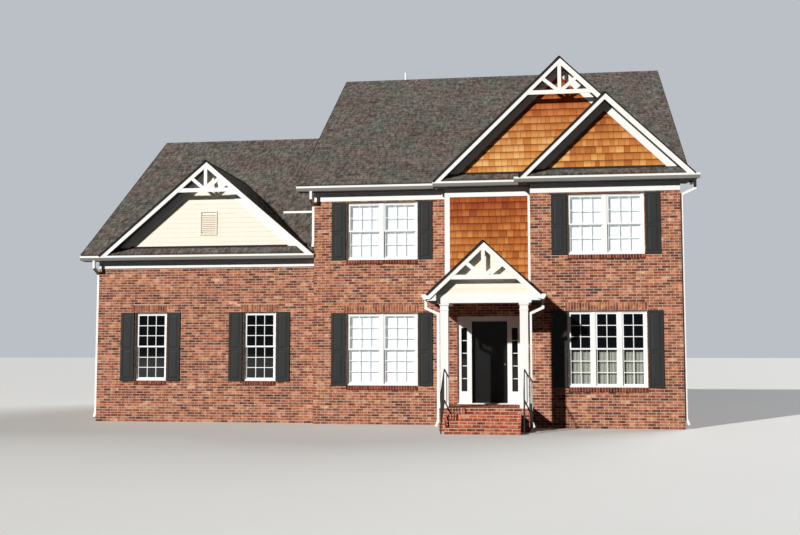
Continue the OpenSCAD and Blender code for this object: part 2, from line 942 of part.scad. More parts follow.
module gutters() {
    off = box_d + fascia_t;
    color(white)
        place() {
            gutter(-left_over, big_left - joint, -off, eave_z);
            gutter(big_left, small_left - joint, entry_y - off, eave_z);
            gutter(bay_x - bay_gutter_over, side_gutter_x, -bay_fwd - off, eave_z);
            gutter(house_left, -joint, wing_back - off, wing_eave_z);
            translate([0, main_d, 0])
                mirror([0, 1, 0])
                    gutter(-left_over, gable_right, -off, eave_z);
            translate([0, wing_back + wing_end_y, 0])
                mirror([0, 1, 0])
                    gutter(house_left, -joint, wing_back - off, wing_eave_z);
            // along the bay's right side and the porch's sides
            translate([gable_right, 0, 0])
                rotate([0, 0, 90])
                    gutter(joint - bay_fwd - off, -joint, 0, eave_z);
            translate([porch_x - porch_half, 0, 0])
                rotate([0, 0, -90])
                    gutter(joint, -porch_front, 0, porch_foot_z);
            translate([porch_x + porch_half, 0, 0])
                rotate([0, 0, 90])
                    gutter(porch_front, -bay_fwd - joint, 0, porch_foot_z);
        }
}

module trim_boards() {
    frieze_h = soffit_z - frieze_z;
    wing_frieze_h = wing_soffit_z - wing_frieze_z;
    color(white)
        place() {
            block(0, entry_x - trim_t - joint, -trim_t, 0, frieze_z, soffit_z);
            block(entry_x, bay_x - trim_t - joint, entry_y - trim_t, entry_y, frieze_z, soffit_z);
            block(bay_x, main_w, -bay_fwd - trim_t, -bay_fwd, frieze_z, soffit_z);
            block(-wing_w, -joint, wing_back - trim_t, wing_back, wing_frieze_z, wing_soffit_z);
            block(0, main_w, main_d, main_d + trim_t, frieze_z, soffit_z);
            block(-wing_w, -joint, wing_end_y, wing_end_y + trim_t, wing_frieze_z, wing_soffit_z);
            // corner boards beside the shingled wall, down to the porch roof
            difference() {
                for (x = [entry_x, bay_x - corner_board_w / 2])
                    block(x, min(x + corner_board_w, bay_x), entry_y - trim_t, entry_y,
                        porch_foot_z, frieze_z - joint);
                below_gable(porch, -far, far, 0, -slope_play);
            }
            rake_friezes();
            band_boards();
        }
}

// Frieze boards that climb along a gable wall under the roof, from a level up
module rake_frieze(g, face, low) {
    drop = gable_drop(g) + slope_play;
    difference() {
        gable_peak(g, face - trim_t, face, low, drop);
        gable_peak(g, face - trim_t - eps, face + eps, low - eps, drop + rake_frieze_h);
    }
}

module rake_friezes() {
    low = main_top(0) + joint;
    difference() {
        rake_frieze(big, entry_y, low);
        below_gable(small, small_front, far, 0, -slope_play);
    }
    rake_frieze(small, -bay_fwd, low);
    rake_frieze(wing_gable, wing_back, wing_top(wing_back) + joint);
}

// Boards between the brick and the siding of the side gables
module band_boards() {
    low = plate_z - band_h / 2;
    run = band_h / 2 / main_pitch;
    front_end = wing_meets(low) - joint;        // where the wing's roof comes up to the board
    back_end = main_d - wing_back - wing_end_y + front_end;
    block(main_w, main_w + trim_t, run, main_d - run, low, low + band_h);
    for (back = [0, 1])
        translate([0, back * main_d, 0])
            mirror([0, back, 0])
                block(-trim_t, 0, run, back == 0 ? front_end : back_end, low, low + band_h);
    block(-wing_w - trim_t, -wing_w, wing_back + run, wing_end_y - run,
        wing_plate_z - band_h / 2, wing_plate_z + band_h / 2);
}

// Barge board of a front gable's left or right side, cut level at the gutter rim
module barge_outline(g, side, height) {
    foot = g[0] + side * g[1];
    top = g[0] + side * joint / 2;
    peak = gable_top(g, top) - barge_low;
    polygon([
        [foot - side * barge_low / g[3], g[2]], [top, peak],
        [top, peak - height], [foot - side * (barge_low + height) / g[3], g[2]]]);
}

module side_barge(y_low, y_high, z_low, pitch) {
    z0 = z_low - barge_low;
    z1 = z0 + (y_high - y_low) * pitch;
    polygon([[y_low, z0], [y_high, z1], [y_high, z1 - side_barge_h], [y_low, z0 - side_barge_h]]);
}

module barge_boards() {
    color(white)
        place() {
            difference() {
                for (side = [-1, 1])
                    along_y(big_front, big_front + barge_t)
                        barge_outline(big, side, barge_h);
                below_gable(small, small_front, entry_y, 0, -slope_play);
                block(small[0], far, -far, far, 0, far);
            }
            for (side = [-1, 1])
                along_y(small_front, small_front + barge_t)
                    barge_outline(small, side, barge_h);
            for (side = [-1, 1])
                along_y(wing_gable_front, wing_gable_front + barge_t)
                    barge_outline(wing_gable, side, barge_h);
            for (side = [-1, 1])
                along_y(porch_front, porch_front + barge_t)
                    porch_barge_outline(side);
            // side gables
            for (x = [-left_over, gable_right - barge_t])
                for (back = [0, 1])
                    translate([0, back * main_d, 0])
                        mirror([0, back, 0])
                            along_x(x, x + barge_t)
                                side_barge(-box_d, ridge_y - joint, main_top(-box_d), main_pitch);
            for (back = [0, 1])
                translate([0, back * (wing_back + wing_end_y), 0])
                    mirror([0, back, 0])
                        along_x(house_left, house_left + barge_t)
                            side_barge(wing_back - box_d, wing_ridge_y - joint,
                                wing_top(wing_back - box_d), wing_pitch);
        }
}

// The porch boards end in a short level foot
module porch_barge_outline(side) {
    foot = porch[0] + side * porch[1];
    top = porch[0] + side * joint / 2;
    peak = gable_top(porch, top) - barge_low;
    end_h = 110;
    inner = foot - side * (barge_low + porch_barge_h - end_h) / porch[3];
    polygon([
        [foot, porch[2] - barge_low], [top, peak], [top, peak - porch_barge_h],
        [inner, porch[2] - end_h], [foot, porch[2] - end_h]]);
}

// A straight member between two points, drawn in X and Z
module member_outline(p, q, w) {
    run = norm(q - p);
    side = [p[1] - q[1], q[0] - p[0]] * (w / 2 / run);
    polygon([p + side, p - side, q - side, q + side]);
}

// Decorative truss: collar tie, king post and two struts from the collar's middle
module gable_truss(g, y, drop, collar_z) {
    reach = g[1];
    member_w = collar_h * 0.84;              // the struts are a little slimmer than the collar
    heart = [g[0], collar_z + collar_h / 2];
    intersection() {
        along_y(y, y + truss_t)
            union() {
                member_outline(heart - [reach, 0], heart + [reach, 0], collar_h);
                member_outline(heart, heart + [0, reach], member_w);
                for (side = [-1, 1])
                    member_outline(heart, heart + reach * [side * sin(strut_angle), cos(strut_angle)],
                        member_w);
            }
        gable_peak(g, y - eps, y + truss_t + eps, collar_z, drop + slope_play);
    }
}

module gable_trusses() {
    inset = 4;
    color(white)
        place() {
            gable_truss(big, big_front + inset, barge_low + barge_h, big_collar_z);
            gable_truss(wing_gable, wing_gable_front + inset, barge_low + barge_h, wing_collar_z);
            gable_truss(porch, porch_front + inset, barge_low + porch_barge_h, porch_collar_z);
        }
}

module gable_wall_outline(g, x0, x1, base) {
    polygon([
        [x0, base], [x1, base], [x1, gable_under(g, x1) - slope_play],
        [g[0], gable_under(g, g[0]) - slope_play], [x0, gable_under(g, x0) - slope_play]]);
}

module shingle_gable_walls() {
    color(cedar)
        place() {
            along_y(entry_y, entry_y + gable_wall_t)
                gable_wall_outline(big, entry_x, main_w, plate_z);
            along_y(-bay_fwd, -bay_fwd + gable_wall_t)
                gable_wall_outline(small, bay_x, main_w, plate_z);
        }
}

module wing_gable_wall() {
    color(cream)
        place()
            gable_peak(wing_gable, wing_back, wing_back + gable_wall_t, wing_plate_z,
                gable_drop(wing_gable) + slope_play);
}

// The triangle on a side wall's plate, just under the roof's slopes
module side_gable_outline(y0, y1, base, pitch) {
    slip = slope_play / pitch;
    polygon([[y0 + slip, base], [y1 - slip, base], [(y0 + y1) / 2, base + ((y1 - y0) / 2 - slip) * pitch]]);
}

module side_gable_walls() {
    color(cream)
        place() {
            for (x = [0, main_w - gable_wall_t])
                along_x(x, x + gable_wall_t)
                    side_gable_outline(0, main_d, plate_z, main_pitch);
            along_x(-wing_w, -wing_w + gable_wall_t)
                side_gable_outline(wing_back, wing_end_y, wing_plate_z, wing_pitch);
        }
}

module front_windows() {
    color(white)
        place() {
            facing_front(0)
                window_frames(main_windows);
            facing_front(-bay_fwd)
                window_frames(bay_windows);
            facing_front(wing_back)
                window_frames(wing_windows);
        }
}

module side_windows() {
    color(white)
        place() {
            facing_right(main_w)
                window_frames(right_windows);
            facing_back(main_d)
                window_frames(back_windows);
            facing_left(-wing_w)
                window_frames(wing_side_windows);
            facing_back(wing_end_y)
                window_frames(wing_back_windows);
        }
}

module window_glass() {
    color(pale_glass)
        place() {
            facing_front(0)
                window_panes(main_windows);
            facing_front(-bay_fwd)
                window_panes(bay_windows);
            facing_front(wing_back)
                window_panes(wing_windows);
            facing_right(main_w)
                window_panes(right_windows);
            facing_back(main_d)
                window_panes(back_windows);
            facing_left(-wing_w)
                window_panes(wing_side_windows);
            facing_back(wing_end_y)
                window_panes(wing_back_windows);
            sidelight_panes();
        }
}

module window_sills() {
    color(brick)
        place() {
            facing_front(0)
                brick_sills(main_windows);
            facing_front(-bay_fwd)
                brick_sills(bay_windows);
            facing_front(wing_back)
                brick_sills(wing_windows);
            facing_right(main_w)
                brick_sills(right_windows);
            facing_back(main_d)
                brick_sills(back_windows);
            facing_left(-wing_w)
                brick_sills(wing_side_windows);
            facing_back(wing_end_y)
                brick_sills(wing_back_windows);
        }
}

// A shutter with two recessed panels
module shutter(h) {
    stile = 60;
    mid = 0.46 * h;
    deep = 10;
    difference() {
        block(0, shutter_w, -shutter_t, 0, 0, h);
        block(stile, shutter_w - stile, -shutter_t - eps, deep - shutter_t, stile, mid - stile / 2);
        block(stile, shutter_w - stile, -shutter_t - eps, deep - shutter_t, mid + stile / 2, h - stile);
    }
}

module shutter_pairs(windows) {
    for (w = windows) {
        translate([w[0] - shutter_gap - shutter_w, 0, w[2]])
            shutter(w[3] - w[2]);
        translate([w[1] + shutter_gap, 0, w[2]])
            shutter(w[3] - w[2]);
    }
}

module shutters() {
    color(charcoal)
        place() {
            facing_front(0)
                shutter_pairs(main_windows);
            facing_front(-bay_fwd)
                shutter_pairs(bay_windows);
            facing_front(wing_back)
                shutter_pairs(wing_windows);
        }
}

entry_frame_y = entry_y + reveal;
door_out_y = entry_in_y - door_t;               // outer face of the door
stop_gap = 6;
glass_in = door_w / 2 + mullion_w;              // door's middle to the sidelight glass

// Sidelight units on both sides of the doorway, with the door's stop, and the head over them
module entry_frame() {
    stop = 12;
    jamb_in = door_w / 2 + door_gap;
    head_z = floor_z + door_h + 2 * door_gap;
    color(white)
        place() {
            for (side = [0, 1])
                translate([door_x, 0, 0])
                    mirror([side, 0, 0])
                        difference() {
                            block(jamb_in - stop, entry_w / 2, entry_frame_y, entry_in_y,
                                floor_z, head_z - joint);
                            block(0, jamb_in, door_out_y - stop_gap, entry_in_y + eps, 0, far);
                            block(glass_in, glass_in + sidelight_w, entry_frame_y - eps, entry_in_y + eps,
                                floor_z + sidelight_panel, head_z - sidelight_head);
                        }
            block(entry_left, entry_right, entry_frame_y, entry_in_y, head_z, entry_top);
            block(entry_left, entry_right, entry_y - threshold_out, entry_in_y,
                floor_z - threshold_h, floor_z - joint);
            block(door_x - jamb_in + stop + joint, door_x + jamb_in - stop - joint,
                entry_frame_y, door_out_y - stop_gap, head_z - stop, head_z - 0.5);
        }
}

module sidelight_panes() {
    y = entry_frame_y + 60;
    head_z = floor_z + door_h + 2 * door_gap;
    for (side = [0, 1])
        translate([door_x, 0, 0])
            mirror([side, 0, 0])
                block(glass_in, glass_in + sidelight_w, y, y + glass_t,
                    floor_z + sidelight_panel, head_z - sidelight_head);
}

// Heights of the three hinges above the floor
hinge_places = [200, door_h / 2, door_h - 250];

module front_door() {
    rows = [[180, 620], [800, 1420], [1560, door_h - 160]];
    stile = 120;
    panel_w = (door_w - 3 * stile) / 2;
    deep = 9;
    color(near_black)
        place()
            translate([0, 0, floor_z + door_gap]) {
                difference() {
                    block(door_left, door_left + door_w, door_out_y, entry_in_y, 0, door_h);
                    for (column = [0, 1])
                        for (row = rows)
                            translate([door_left + stile + column * (panel_w + stile), 0, 0]) {
                                block(0, panel_w, door_out_y - eps, door_out_y + deep, row[0], row[1]);
                                block(0, panel_w, entry_in_y - deep, entry_in_y + eps, row[0], row[1]);
                            }
                }
                // hinge leaves and upper knuckles
                for (z = hinge_places) {
                    difference() {
                        union() {
                            translate([hinge_x, hinge_y, z + hinge_h / 2 + 0.5])
                                cylinder(r = hinge_r, h = hinge_h / 2, $fn = 32);
                            block(hinge_x, door_left + 40, entry_in_y, entry_in_y + 3,
                                z + hinge_h / 2 + 0.5, z + hinge_h + 0.5);
                        }
                        translate([hinge_x, hinge_y, z])
                            cylinder(r = pin_r + pin_play, h = hinge_h + 10, $fn = 32);
                    }
                }
            }
}

// Lower knuckles and pins on the frame
module door_hinges() {
    color(iron)
        place()
            translate([0, 0, floor_z + door_gap])
                for (z = hinge_places) {
                    translate([hinge_x, hinge_y, z])
                        cylinder(r = hinge_r, h = hinge_h / 2, $fn = 32);
                    translate([hinge_x, hinge_y, z])
                        cylinder(r = pin_r, h = hinge_h + 5, $fn = 32);
                    block(hinge_x - door_gap / 2 - 40, hinge_x, entry_in_y, entry_in_y + 3,
                        z, z + hinge_h / 2);
                }
}

module door_handle() {
    knob_z = floor_z + door_gap + 950;
    knob_x = door_left + door_w - 65;
    color([0.65, 0.55, 0.35])
        place()
            for (side = [-1, 1]) {
                face = side < 0 ? door_out_y : entry_in_y;
                translate([knob_x, face, knob_z])
                    rotate([side * -90, 0, 0]) {
                        cylinder(r = 32, h = 8, $fn = 40);
                        cylinder(r = 11, h = 40, $fn = 32);
                        translate([0, 0, 48])
                            sphere(r = 27, $fn = 32);
                    }
            }
}

// The floor's sides are flush with the columns' plinths
module porch_floor() {
    half = column_span / 2 + column_w / 2 + plinth_out;
    color(brick)
        place()
            block(porch_x - half, porch_x + half, -porch_floor_y, entry_y, 0, porch_floor_z);
}

module porch_steps() {
    rise = porch_floor_z / 4;
    color(brick)
        place()
            for (k = [1 : 3])
                block(porch_x - steps_w / 2, porch_x + steps_w / 2,
                    -porch_floor_y - k * tread_d, -porch_floor_y, 0, (4 - k) * rise);
}

// A square column with its plinth, a neck moulding and its cap
module column(x, y) {
    plinth_h = 130;
    cap_h = 50;
    neck_h = 30;
    h = beam_z - porch_floor_z;
    neck_z = h - cap_h - 4 * neck_h;
    translate([x, y, porch_floor_z]) {
        square_block(column_w, 0, h);
        square_block(column_w + 2 * plinth_out, 0, plinth_h);
        square_block(column_w + 2 * plinth_out, h - cap_h, h);
        square_block(column_w + plinth_out, neck_z, neck_z + neck_h);
    }
}

module square_block(w, z0, z1) {
    block(-w / 2, w / 2, -w / 2, w / 2, z0, z1);
}

module porch_columns() {
    color(white)
        place()
            for (side = [-1, 1])
                column(porch_x + side * column_span / 2, -column_y);
}

module porch_beams() {
    color(white)
        place() {
            block(beam_left, beam_right, beam_front, beam_in_y, beam_z, beam_z + beam_h);
            block(beam_left, beam_in_left, beam_in_y + joint, entry_y, beam_z, beam_z + beam_h);
            block(beam_in_right, bay_x, beam_in_y + joint, entry_y, beam_z, beam_z + beam_h);
        }
}

module porch_gable_wall() {
    face = beam_front + 20;
    color(cream)
        place()
            along_y(face, face + 100)
                gable_wall_outline(porch, beam_left, beam_right, beam_z + beam_h);
}

// Iron handrails beside the steps, fixed to the columns, each one flat panel
module handrails() {
    top_y = -column_y - column_w / 2;
    foot_y = rail_bar - steps_y;
    top_z = porch_floor_z + rail_h;
    foot_z = rail_h;
    low_top = porch_floor_z + low_rail_h;
    low_foot = low_rail_h;
    fall = (top_z - foot_z) / (top_y - foot_y);
    low_fall = (low_top - low_foot) / (top_y - foot_y);
    pickets = floor((top_y - foot_y) / picket_step);
    color(iron)
        place()
            for (side = [-1, 1])
                translate([porch_x + side * column_span / 2 - rail_bar / 2, 0, 0]) {
                    block(0, rail_bar, foot_y, foot_y + rail_bar, 0, foot_z + rail_bar);
                    along_x(0, rail_bar)
                        polygon([
                            [foot_y, foot_z], [top_y, top_z],
                            [top_y, top_z + rail_bar], [foot_y, foot_z + rail_bar]]);
                    along_x(0, rail_bar)
                        polygon([
                            [foot_y, low_foot], [top_y, low_top],
                            [top_y, low_top + rail_bar], [foot_y, low_foot + rail_bar]]);
                    for (k = [1 : pickets]) {
                        y = foot_y + k * picket_step;
                        if (y < top_y - picket_step / 2)
                            block(rail_bar / 4, rail_bar * 3 / 4, y, y + rail_bar / 2,
                                low_foot + (y - foot_y) * low_fall + rail_bar / 2,
                                foot_z + (y - foot_y) * fall + rail_bar / 2);
                    }
                }
}

// Rain pipe in the plane of its bends: the pipe's middle at 0, the gutter's outlet out at reach
module pipe_outline(reach, top, foot) {
    neck = 190;                                 // straight piece under the gutter
    fall = 25;                                  // slope of the piece back to the wall
    kick = 60;                                  // how far the foot turns out
    kick_h = 150;
    half = pipe_w / 2;
    bend_z = top - neck;
    wall_z = bend_z - reach * tan(fall);
    foot_z = foot + kick_h;
    mitre = half * tan((90 - fall) / 2);
    splay = atan2(kick, kick_h);
    foot_mitre = half * tan(splay / 2);
    polygon([
        [reach - half, top], [reach + half, top], [reach + half, bend_z - mitre],
        [half, wall_z - mitre], [half, foot_z + foot_mitre],
        [kick + half * cos(splay), foot + half * sin(splay)],
        [kick - half * cos(splay), foot - half * sin(splay)],
        [-half, foot_z - foot_mitre], [-half, wall_z + mitre], [reach - half, bend_z + mitre]]);
}

module downspouts() {
    half = pipe_w / 2;
    inset = 60;                                 // pipe's middle behind a wall's corner
    outlet = half + 2;                          // outlet's middle in front of the gutter's back
    foot = 100;
    roof_foot = wing_eave_z + 160;
    left = -pipe_off - pipe_w;
    // left side, corner, front or back, gutter rim, foot
    side_pipes = [
        [left, 0, 1, eave_z, roof_foot],
        [left - wing_w, wing_back, 1, wing_eave_z, foot],
        [left - wing_w, wing_end_y, 0, wing_eave_z, foot]];
    back_off = trim_t + pipe_off + half;
    porch_off = column_span / 2 + column_w / 2 + plinth_out + pipe_off / 2 + half;
    color(white)
        place() {
            for (p = side_pipes)
                translate([p[0], p[1], 0])
                    mirror([0, p[2], 0])
                        along_x(0, pipe_w)
                            translate([-inset, 0])
                                pipe_outline(inset + box_d + fascia_t + outlet, p[3] - gutter_h, p[4]);
            for (x = [inset, main_w - inset - pipe_w])
                translate([x, main_d + back_off, 0])
                    along_x(0, pipe_w)
                        pipe_outline(box_d + fascia_t + outlet - back_off, eave_z - gutter_h, foot);
            along_y(inset - bay_fwd, inset - bay_fwd + pipe_w)
                translate([main_w + pipe_off + half, 0])
                    pipe_outline(right_over + outlet - pipe_off - half, eave_z - gutter_h, foot);
            for (side = [0, 1])
                translate([porch_x, 0, 0])
                    mirror([side, 0, 0])
                        along_y(-column_y - half, half - column_y)
                            translate([porch_off, 0])
                                pipe_outline(porch_half + outlet - porch_off, porch_foot_z - gutter_h, foot);
        }
}

// Louvred vent in the wing's gable
module gable_vent() {
    frame = 35;
    deep = 25;
    blade_step = 50;
    blade_t = 8;
    blade_d = 20;
    x0 = wing_gable[0] - vent_w / 2;
    x1 = x0 + vent_w;
    color(cream)
        place()
            translate([0, wing_back, vent_z]) {
                difference() {
                    block(x0, x1, -deep, 0, 0, vent_h);
                    block(x0 + frame, x1 - frame, -deep - eps, eps, frame, vent_h - frame);
                }
                for (z = [frame + blade_t : blade_step : vent_h - frame - blade_step])
                    along_x(x0 + frame / 2, x1 - frame / 2)
                        polygon([
                            [-2, z + blade_d], [-2, z + blade_d + blade_t],
                            [-2 - blade_d, z + blade_t], [-2 - blade_d, z]]);
            }
}

// Plumbing vent behind the main ridge, and the rain diverter on the wing's roof
module roof_fittings() {
    stack_r = 40;
    collar_r = 70;
    collar_h = 90;
    slope_z = main_top(main_d - stack_y);
    diverter = [-1300, -480];                   // its ends along the front
    diverter_y = 1830;
    sheet = 4;
    flange = 60;
    low = wing_top(diverter_y) + slope_play;
    high = wing_top(diverter_y + flange) + slope_play;
    color(white)
        place() {
            difference() {
                translate([stack_x, stack_y, 0])
                    union() {
                        translate([0, 0, slope_z - 2 * collar_r])
                            cylinder(r = stack_r, h = stack_top_z - slope_z + 2 * collar_r, $fn = 32);
                        translate([0, 0, slope_z - 2 * collar_r])
                            cylinder(r = collar_r, h = collar_h + 2 * collar_r, $fn = 32);
                    }
                translate([0, main_d, 0])
                    mirror([0, 1, 0])
                        below_main_slope();
            }
            along_x(diverter[0], diverter[1])
                polygon([
                    [diverter_y, low], [diverter_y + flange, high], [diverter_y + flange, high + sheet],
                    [diverter_y + sheet, low + 2 * sheet], [diverter_y + sheet, low + flange],
                    [diverter_y, low + flange]]);
        }
}

main_front_wall();
entry_piers();
entry_head_and_sill();
entry_shingle_wall();
return_walls();
bay_front_wall();
right_wall();
back_wall();
left_wall();
wing_front_wall();
wing_left_wall();
wing_back_wall();
ground_floors();
upper_floor();
ceilings();
main_roof();
wing_roof();
big_gable_roof();
small_gable_roof();
wing_gable_roof();
porch_roof();
pent_roofs();
eave_boxes();
gutters();
trim_boards();
barge_boards();
gable_trusses();
shingle_gable_walls();
wing_gable_wall();
side_gable_walls();
front_windows();
side_windows();
window_glass();
window_sills();
shutters();
entry_frame();
front_door();
door_handle();
door_hinges();
porch_floor();
porch_steps();
porch_columns();
porch_beams();
porch_gable_wall();
handrails();
downspouts();
gable_vent();
roof_fittings();
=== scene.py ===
import math
import random
import bpy
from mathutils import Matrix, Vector


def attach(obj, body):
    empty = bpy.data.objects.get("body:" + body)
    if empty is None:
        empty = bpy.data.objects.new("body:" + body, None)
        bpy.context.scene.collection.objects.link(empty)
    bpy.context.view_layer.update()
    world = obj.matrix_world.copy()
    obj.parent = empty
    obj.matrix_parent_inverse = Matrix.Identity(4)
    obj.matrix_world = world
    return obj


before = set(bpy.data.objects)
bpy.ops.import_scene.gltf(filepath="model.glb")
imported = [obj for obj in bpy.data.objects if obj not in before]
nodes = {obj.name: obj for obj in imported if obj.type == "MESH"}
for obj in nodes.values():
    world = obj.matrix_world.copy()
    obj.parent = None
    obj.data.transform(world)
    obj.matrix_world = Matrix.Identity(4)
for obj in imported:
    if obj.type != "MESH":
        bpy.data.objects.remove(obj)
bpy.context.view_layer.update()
print("frame loaded")

# Places are in metres from the main block's left front corner, at the ground
corner = Vector((-1.6215, -5.2035, 0.0))
house = {"right": 9.213, "back": 13.042, "entryLeft": 3.445, "entryRight": 5.601, "entryFront": -0.301,
         "bayFront": -0.738, "wingLeft": -5.993, "wingFront": 0.262, "wingBack": 12.14, "wingDeep": 11.878}
courseRise = {"brick": 0.0677, "roof": 0.142, "cedar": 0.178, "siding": 0.127}
windowAt = {"main": 1.778, "bay": 7.42, "wing": (-4.512, -1.522)}
dice = random.Random(7)


def spot(x, y, z):
    return Vector((x, y, z)) + corner


def newObject(name, data):
    made = bpy.data.objects.new(name, data)
    bpy.context.scene.collection.objects.link(made)
    return made


def newMesh(name, points, faces, finish):
    made = bpy.data.meshes.new(name)
    made.from_pydata(points, [], faces)
    made.materials.append(finish)
    return made


# Camera, at the photograph's viewpoint
view = {"at": (5.898, -26.224, 1.801), "tilt": 94.759, "turn": 7.904, "lens": 46.47, "sensor": 36.0}
cameraData = bpy.data.cameras.new("camera")
cameraData.lens = view["lens"]
cameraData.sensor_width = view["sensor"]
camera = newObject("camera", cameraData)
camera.location = spot(*view["at"])
camera.rotation_euler = (math.radians(view["tilt"]), 0.0, math.radians(view["turn"]))
bpy.context.scene.camera = camera
print("camera set")


def paint(red, green, blue):
    # a screen colour, 0 to 255, as a shader colour
    parts = [part / 255 for part in (red, green, blue)]
    return tuple(p / 12.92 if p < 0.0404 else ((p + 0.055) / 1.055) ** 2.4 for p in parts) + (1.0,)


# Shader maths: a port is one socket, and an expression on ports adds its Math nodes
class Port:
    def __init__(self, finish, socket):
        self.finish = finish
        self.socket = socket

    def work(self, operation, first, second):
        return self.finish.add("ShaderNodeMath", {"operation": operation}, {0: first, 1: second})

    def __add__(self, other):
        return self.work("ADD", self, other)

    def __radd__(self, other):
        return self.work("ADD", other, self)

    def __sub__(self, other):
        return self.work("SUBTRACT", self, other)

    def __rsub__(self, other):
        return self.work("SUBTRACT", other, self)

    def __mul__(self, other):
        return self.work("MULTIPLY", self, other)

    def __rmul__(self, other):
        return self.work("MULTIPLY", other, self)

    def __truediv__(self, other):
        return self.work("DIVIDE", self, other)

    def __rtruediv__(self, other):
        return self.work("DIVIDE", other, self)

    def __pow__(self, other):
        return self.work("POWER", self, other)

    def __rpow__(self, other):
        return self.work("POWER", other, self)

    def __lt__(self, other):
        return self.work("LESS_THAN", self, other)

    def __gt__(self, other):
        return self.work("GREATER_THAN", self, other)


# One material; add makes any node from its type, its settings and its sockets' values or links
class Finish:
    def __init__(self, name):
        self.material = bpy.data.materials.new(name)
        self.material.use_nodes = True
        self.tree = self.material.node_tree
        self.tree.nodes.clear()

    def add(self, kind, settings=None, values=None, out=0):
        node = self.tree.nodes.new(kind)
        for key, value in (settings or {}).items():
            if key == "stops":
                while len(node.color_ramp.elements) < len(value):
                    node.color_ramp.elements.new(1.0)
                for element, (place, color) in zip(node.color_ramp.elements, value):
                    element.position = place
                    element.color = color
            else:
                setattr(node, key, value)
        for key, value in (values or {}).items():
            if isinstance(value, Port):
                self.tree.links.new(value.socket, node.inputs[key])
            else:
                node.inputs[key].default_value = value
        return Port(self, node.outputs[out]) if node.outputs else None

    def place(self):
        return self.add("ShaderNodeTexCoord", out="Object")

    def noise(self, scale, detail=3.0, rough=0.55, stretch=(1, 1, 1)):
        stretched = self.add("ShaderNodeMapping", None, {"Vector": self.place(), "Scale": stretch})
        values = {"Vector": stretched, "Scale": scale, "Detail": detail, "Roughness": rough}
        return self.add("ShaderNodeTexNoise", None, values)

    def tone(self):
        # drawn once for each brick, shingle or board
        return self.add("ShaderNodeAttribute", {"attribute_name": "tone"}, None, "Fac")

    def ramp(self, factor, stops):
        colors = [(place, paint(*color)) for place, color in stops]
        return self.add("ShaderNodeValToRGB", {"stops": colors}, {"Fac": factor})

    def mix(self, factor, first, second, blend="MIX"):
        # sockets 6, 7 and out 2 are the colours of a Mix node
        return self.add("ShaderNodeMix", {"data_type": "RGBA", "blend_type": blend},
                        {0: factor, 6: first, 7: second}, 2)

    def tint(self, base, color):
        return self.mix(1.0, base, paint(*color), "MULTIPLY")

    def wash(self, base, share, color):
        # a tint that lies on a share of the surface
        return self.mix(share, base, self.tint(base, color))

    def span(self, value, low, high):
        return self.add("ShaderNodeMapRange", None, {"Value": value, "To Min": low, "To Max": high})

    def bump(self, height, strength, distance):
        values = {"Height": height, "Strength": strength, "Distance": distance}
        return self.add("ShaderNodeBump", None, values)

    def height(self):
        return self.add("ShaderNodeSeparateXYZ", None, {"Vector": self.place()}, "Z")

    def facing(self):
        # 1 on what faces up, 0 on upright faces, -1 on what faces down
        normal = self.add("ShaderNodeNewGeometry", out="Normal")
        return self.add("ShaderNodeSeparateXYZ", None, {"Vector": normal}, "Z")

    def underside(self):
        return self.facing() < -0.3

    def close(self, base, rough, more, bump):
        values = {"Base Color": base, "Roughness": rough, **more, "Normal": bump}
        surface = self.add("ShaderNodeBsdfPrincipled", None, values)
        self.add("ShaderNodeOutputMaterial", None, {"Surface": surface})
        return self.material


def makeBrick(name, stops):
    f = Finish(name)
    base = f.ramp(f.tone(), stops)
    spots = f.noise(38.0, 4.0, 0.62)
    smudge = f.noise(9.0, 2.0)
    cloud = f.noise(0.9, 2.0)
    base = f.wash(base, f.span(spots, 0.0, 0.45), (168, 142, 128))
    base = f.wash(base, f.span(smudge, -1.0, 2.0), (164, 142, 130))
    base = f.wash(base, f.span(cloud, -0.25, 0.55), (220, 214, 208))
    return f.close(base, f.span(spots, 0.78, 0.98), {"Specular IOR Level": 0.2},
                   f.bump(f.noise(160.0, 3.0), 0.35, 0.003))


def makeMortar():
    f = Finish("mortar")
    grain = f.noise(120.0, 3.0)
    base = f.mix(f.noise(1.6, 3.0), paint(226, 206, 188), paint(204, 180, 162))
    return f.close(f.mix(f.span(grain, 0.0, 0.4), base, paint(176, 152, 134)), 0.95,
                   {"Specular IOR Level": 0.2}, f.bump(grain, 0.5, 0.003))


def makeAsphalt():
    f = Finish("asphaltShingle")
    base = f.ramp(f.tone(), [(0.0, (126, 120, 119)), (0.3, (142, 136, 134)), (0.5, (151, 145, 142)),
                             (0.7, (166, 158, 152)), (1.0, (144, 144, 141))])
    grain = f.noise(240.0, 2.0, 0.7)
    fleck = f.noise(13.0, 3.0, 0.7, (1, 0.35, 0.35))
    patch = f.noise(0.8, 2.0, 0.5)
    hue = f.noise(1.2, 2.0, 0.5)
    base = f.wash(base, f.span(fleck, -1.0, 2.0), (150, 142, 136))
    base = f.wash(base, f.span(patch, -0.2, 0.9), (224, 216, 208))
    base = f.mix(f.span(hue, -0.8, 1.8), f.tint(base, (240, 255, 249)), f.tint(base, (255, 241, 238)))
    base = f.wash(base, f.span(grain, 0.0, 0.6), (132, 124, 120))
    facing = f.facing()
    # upright faces, the roof's cut edges and the sides of each tab, are painted dark: painted shade along
    # edges and joints
    cut = facing * facing < 0.09  # the shingles' and the roof's cut edges stand upright
    return f.close(f.mix(cut, base, paint(46, 43, 41)), 0.96, {"Specular IOR Level": 0.15},
                   f.bump(grain, 0.6, 0.004))


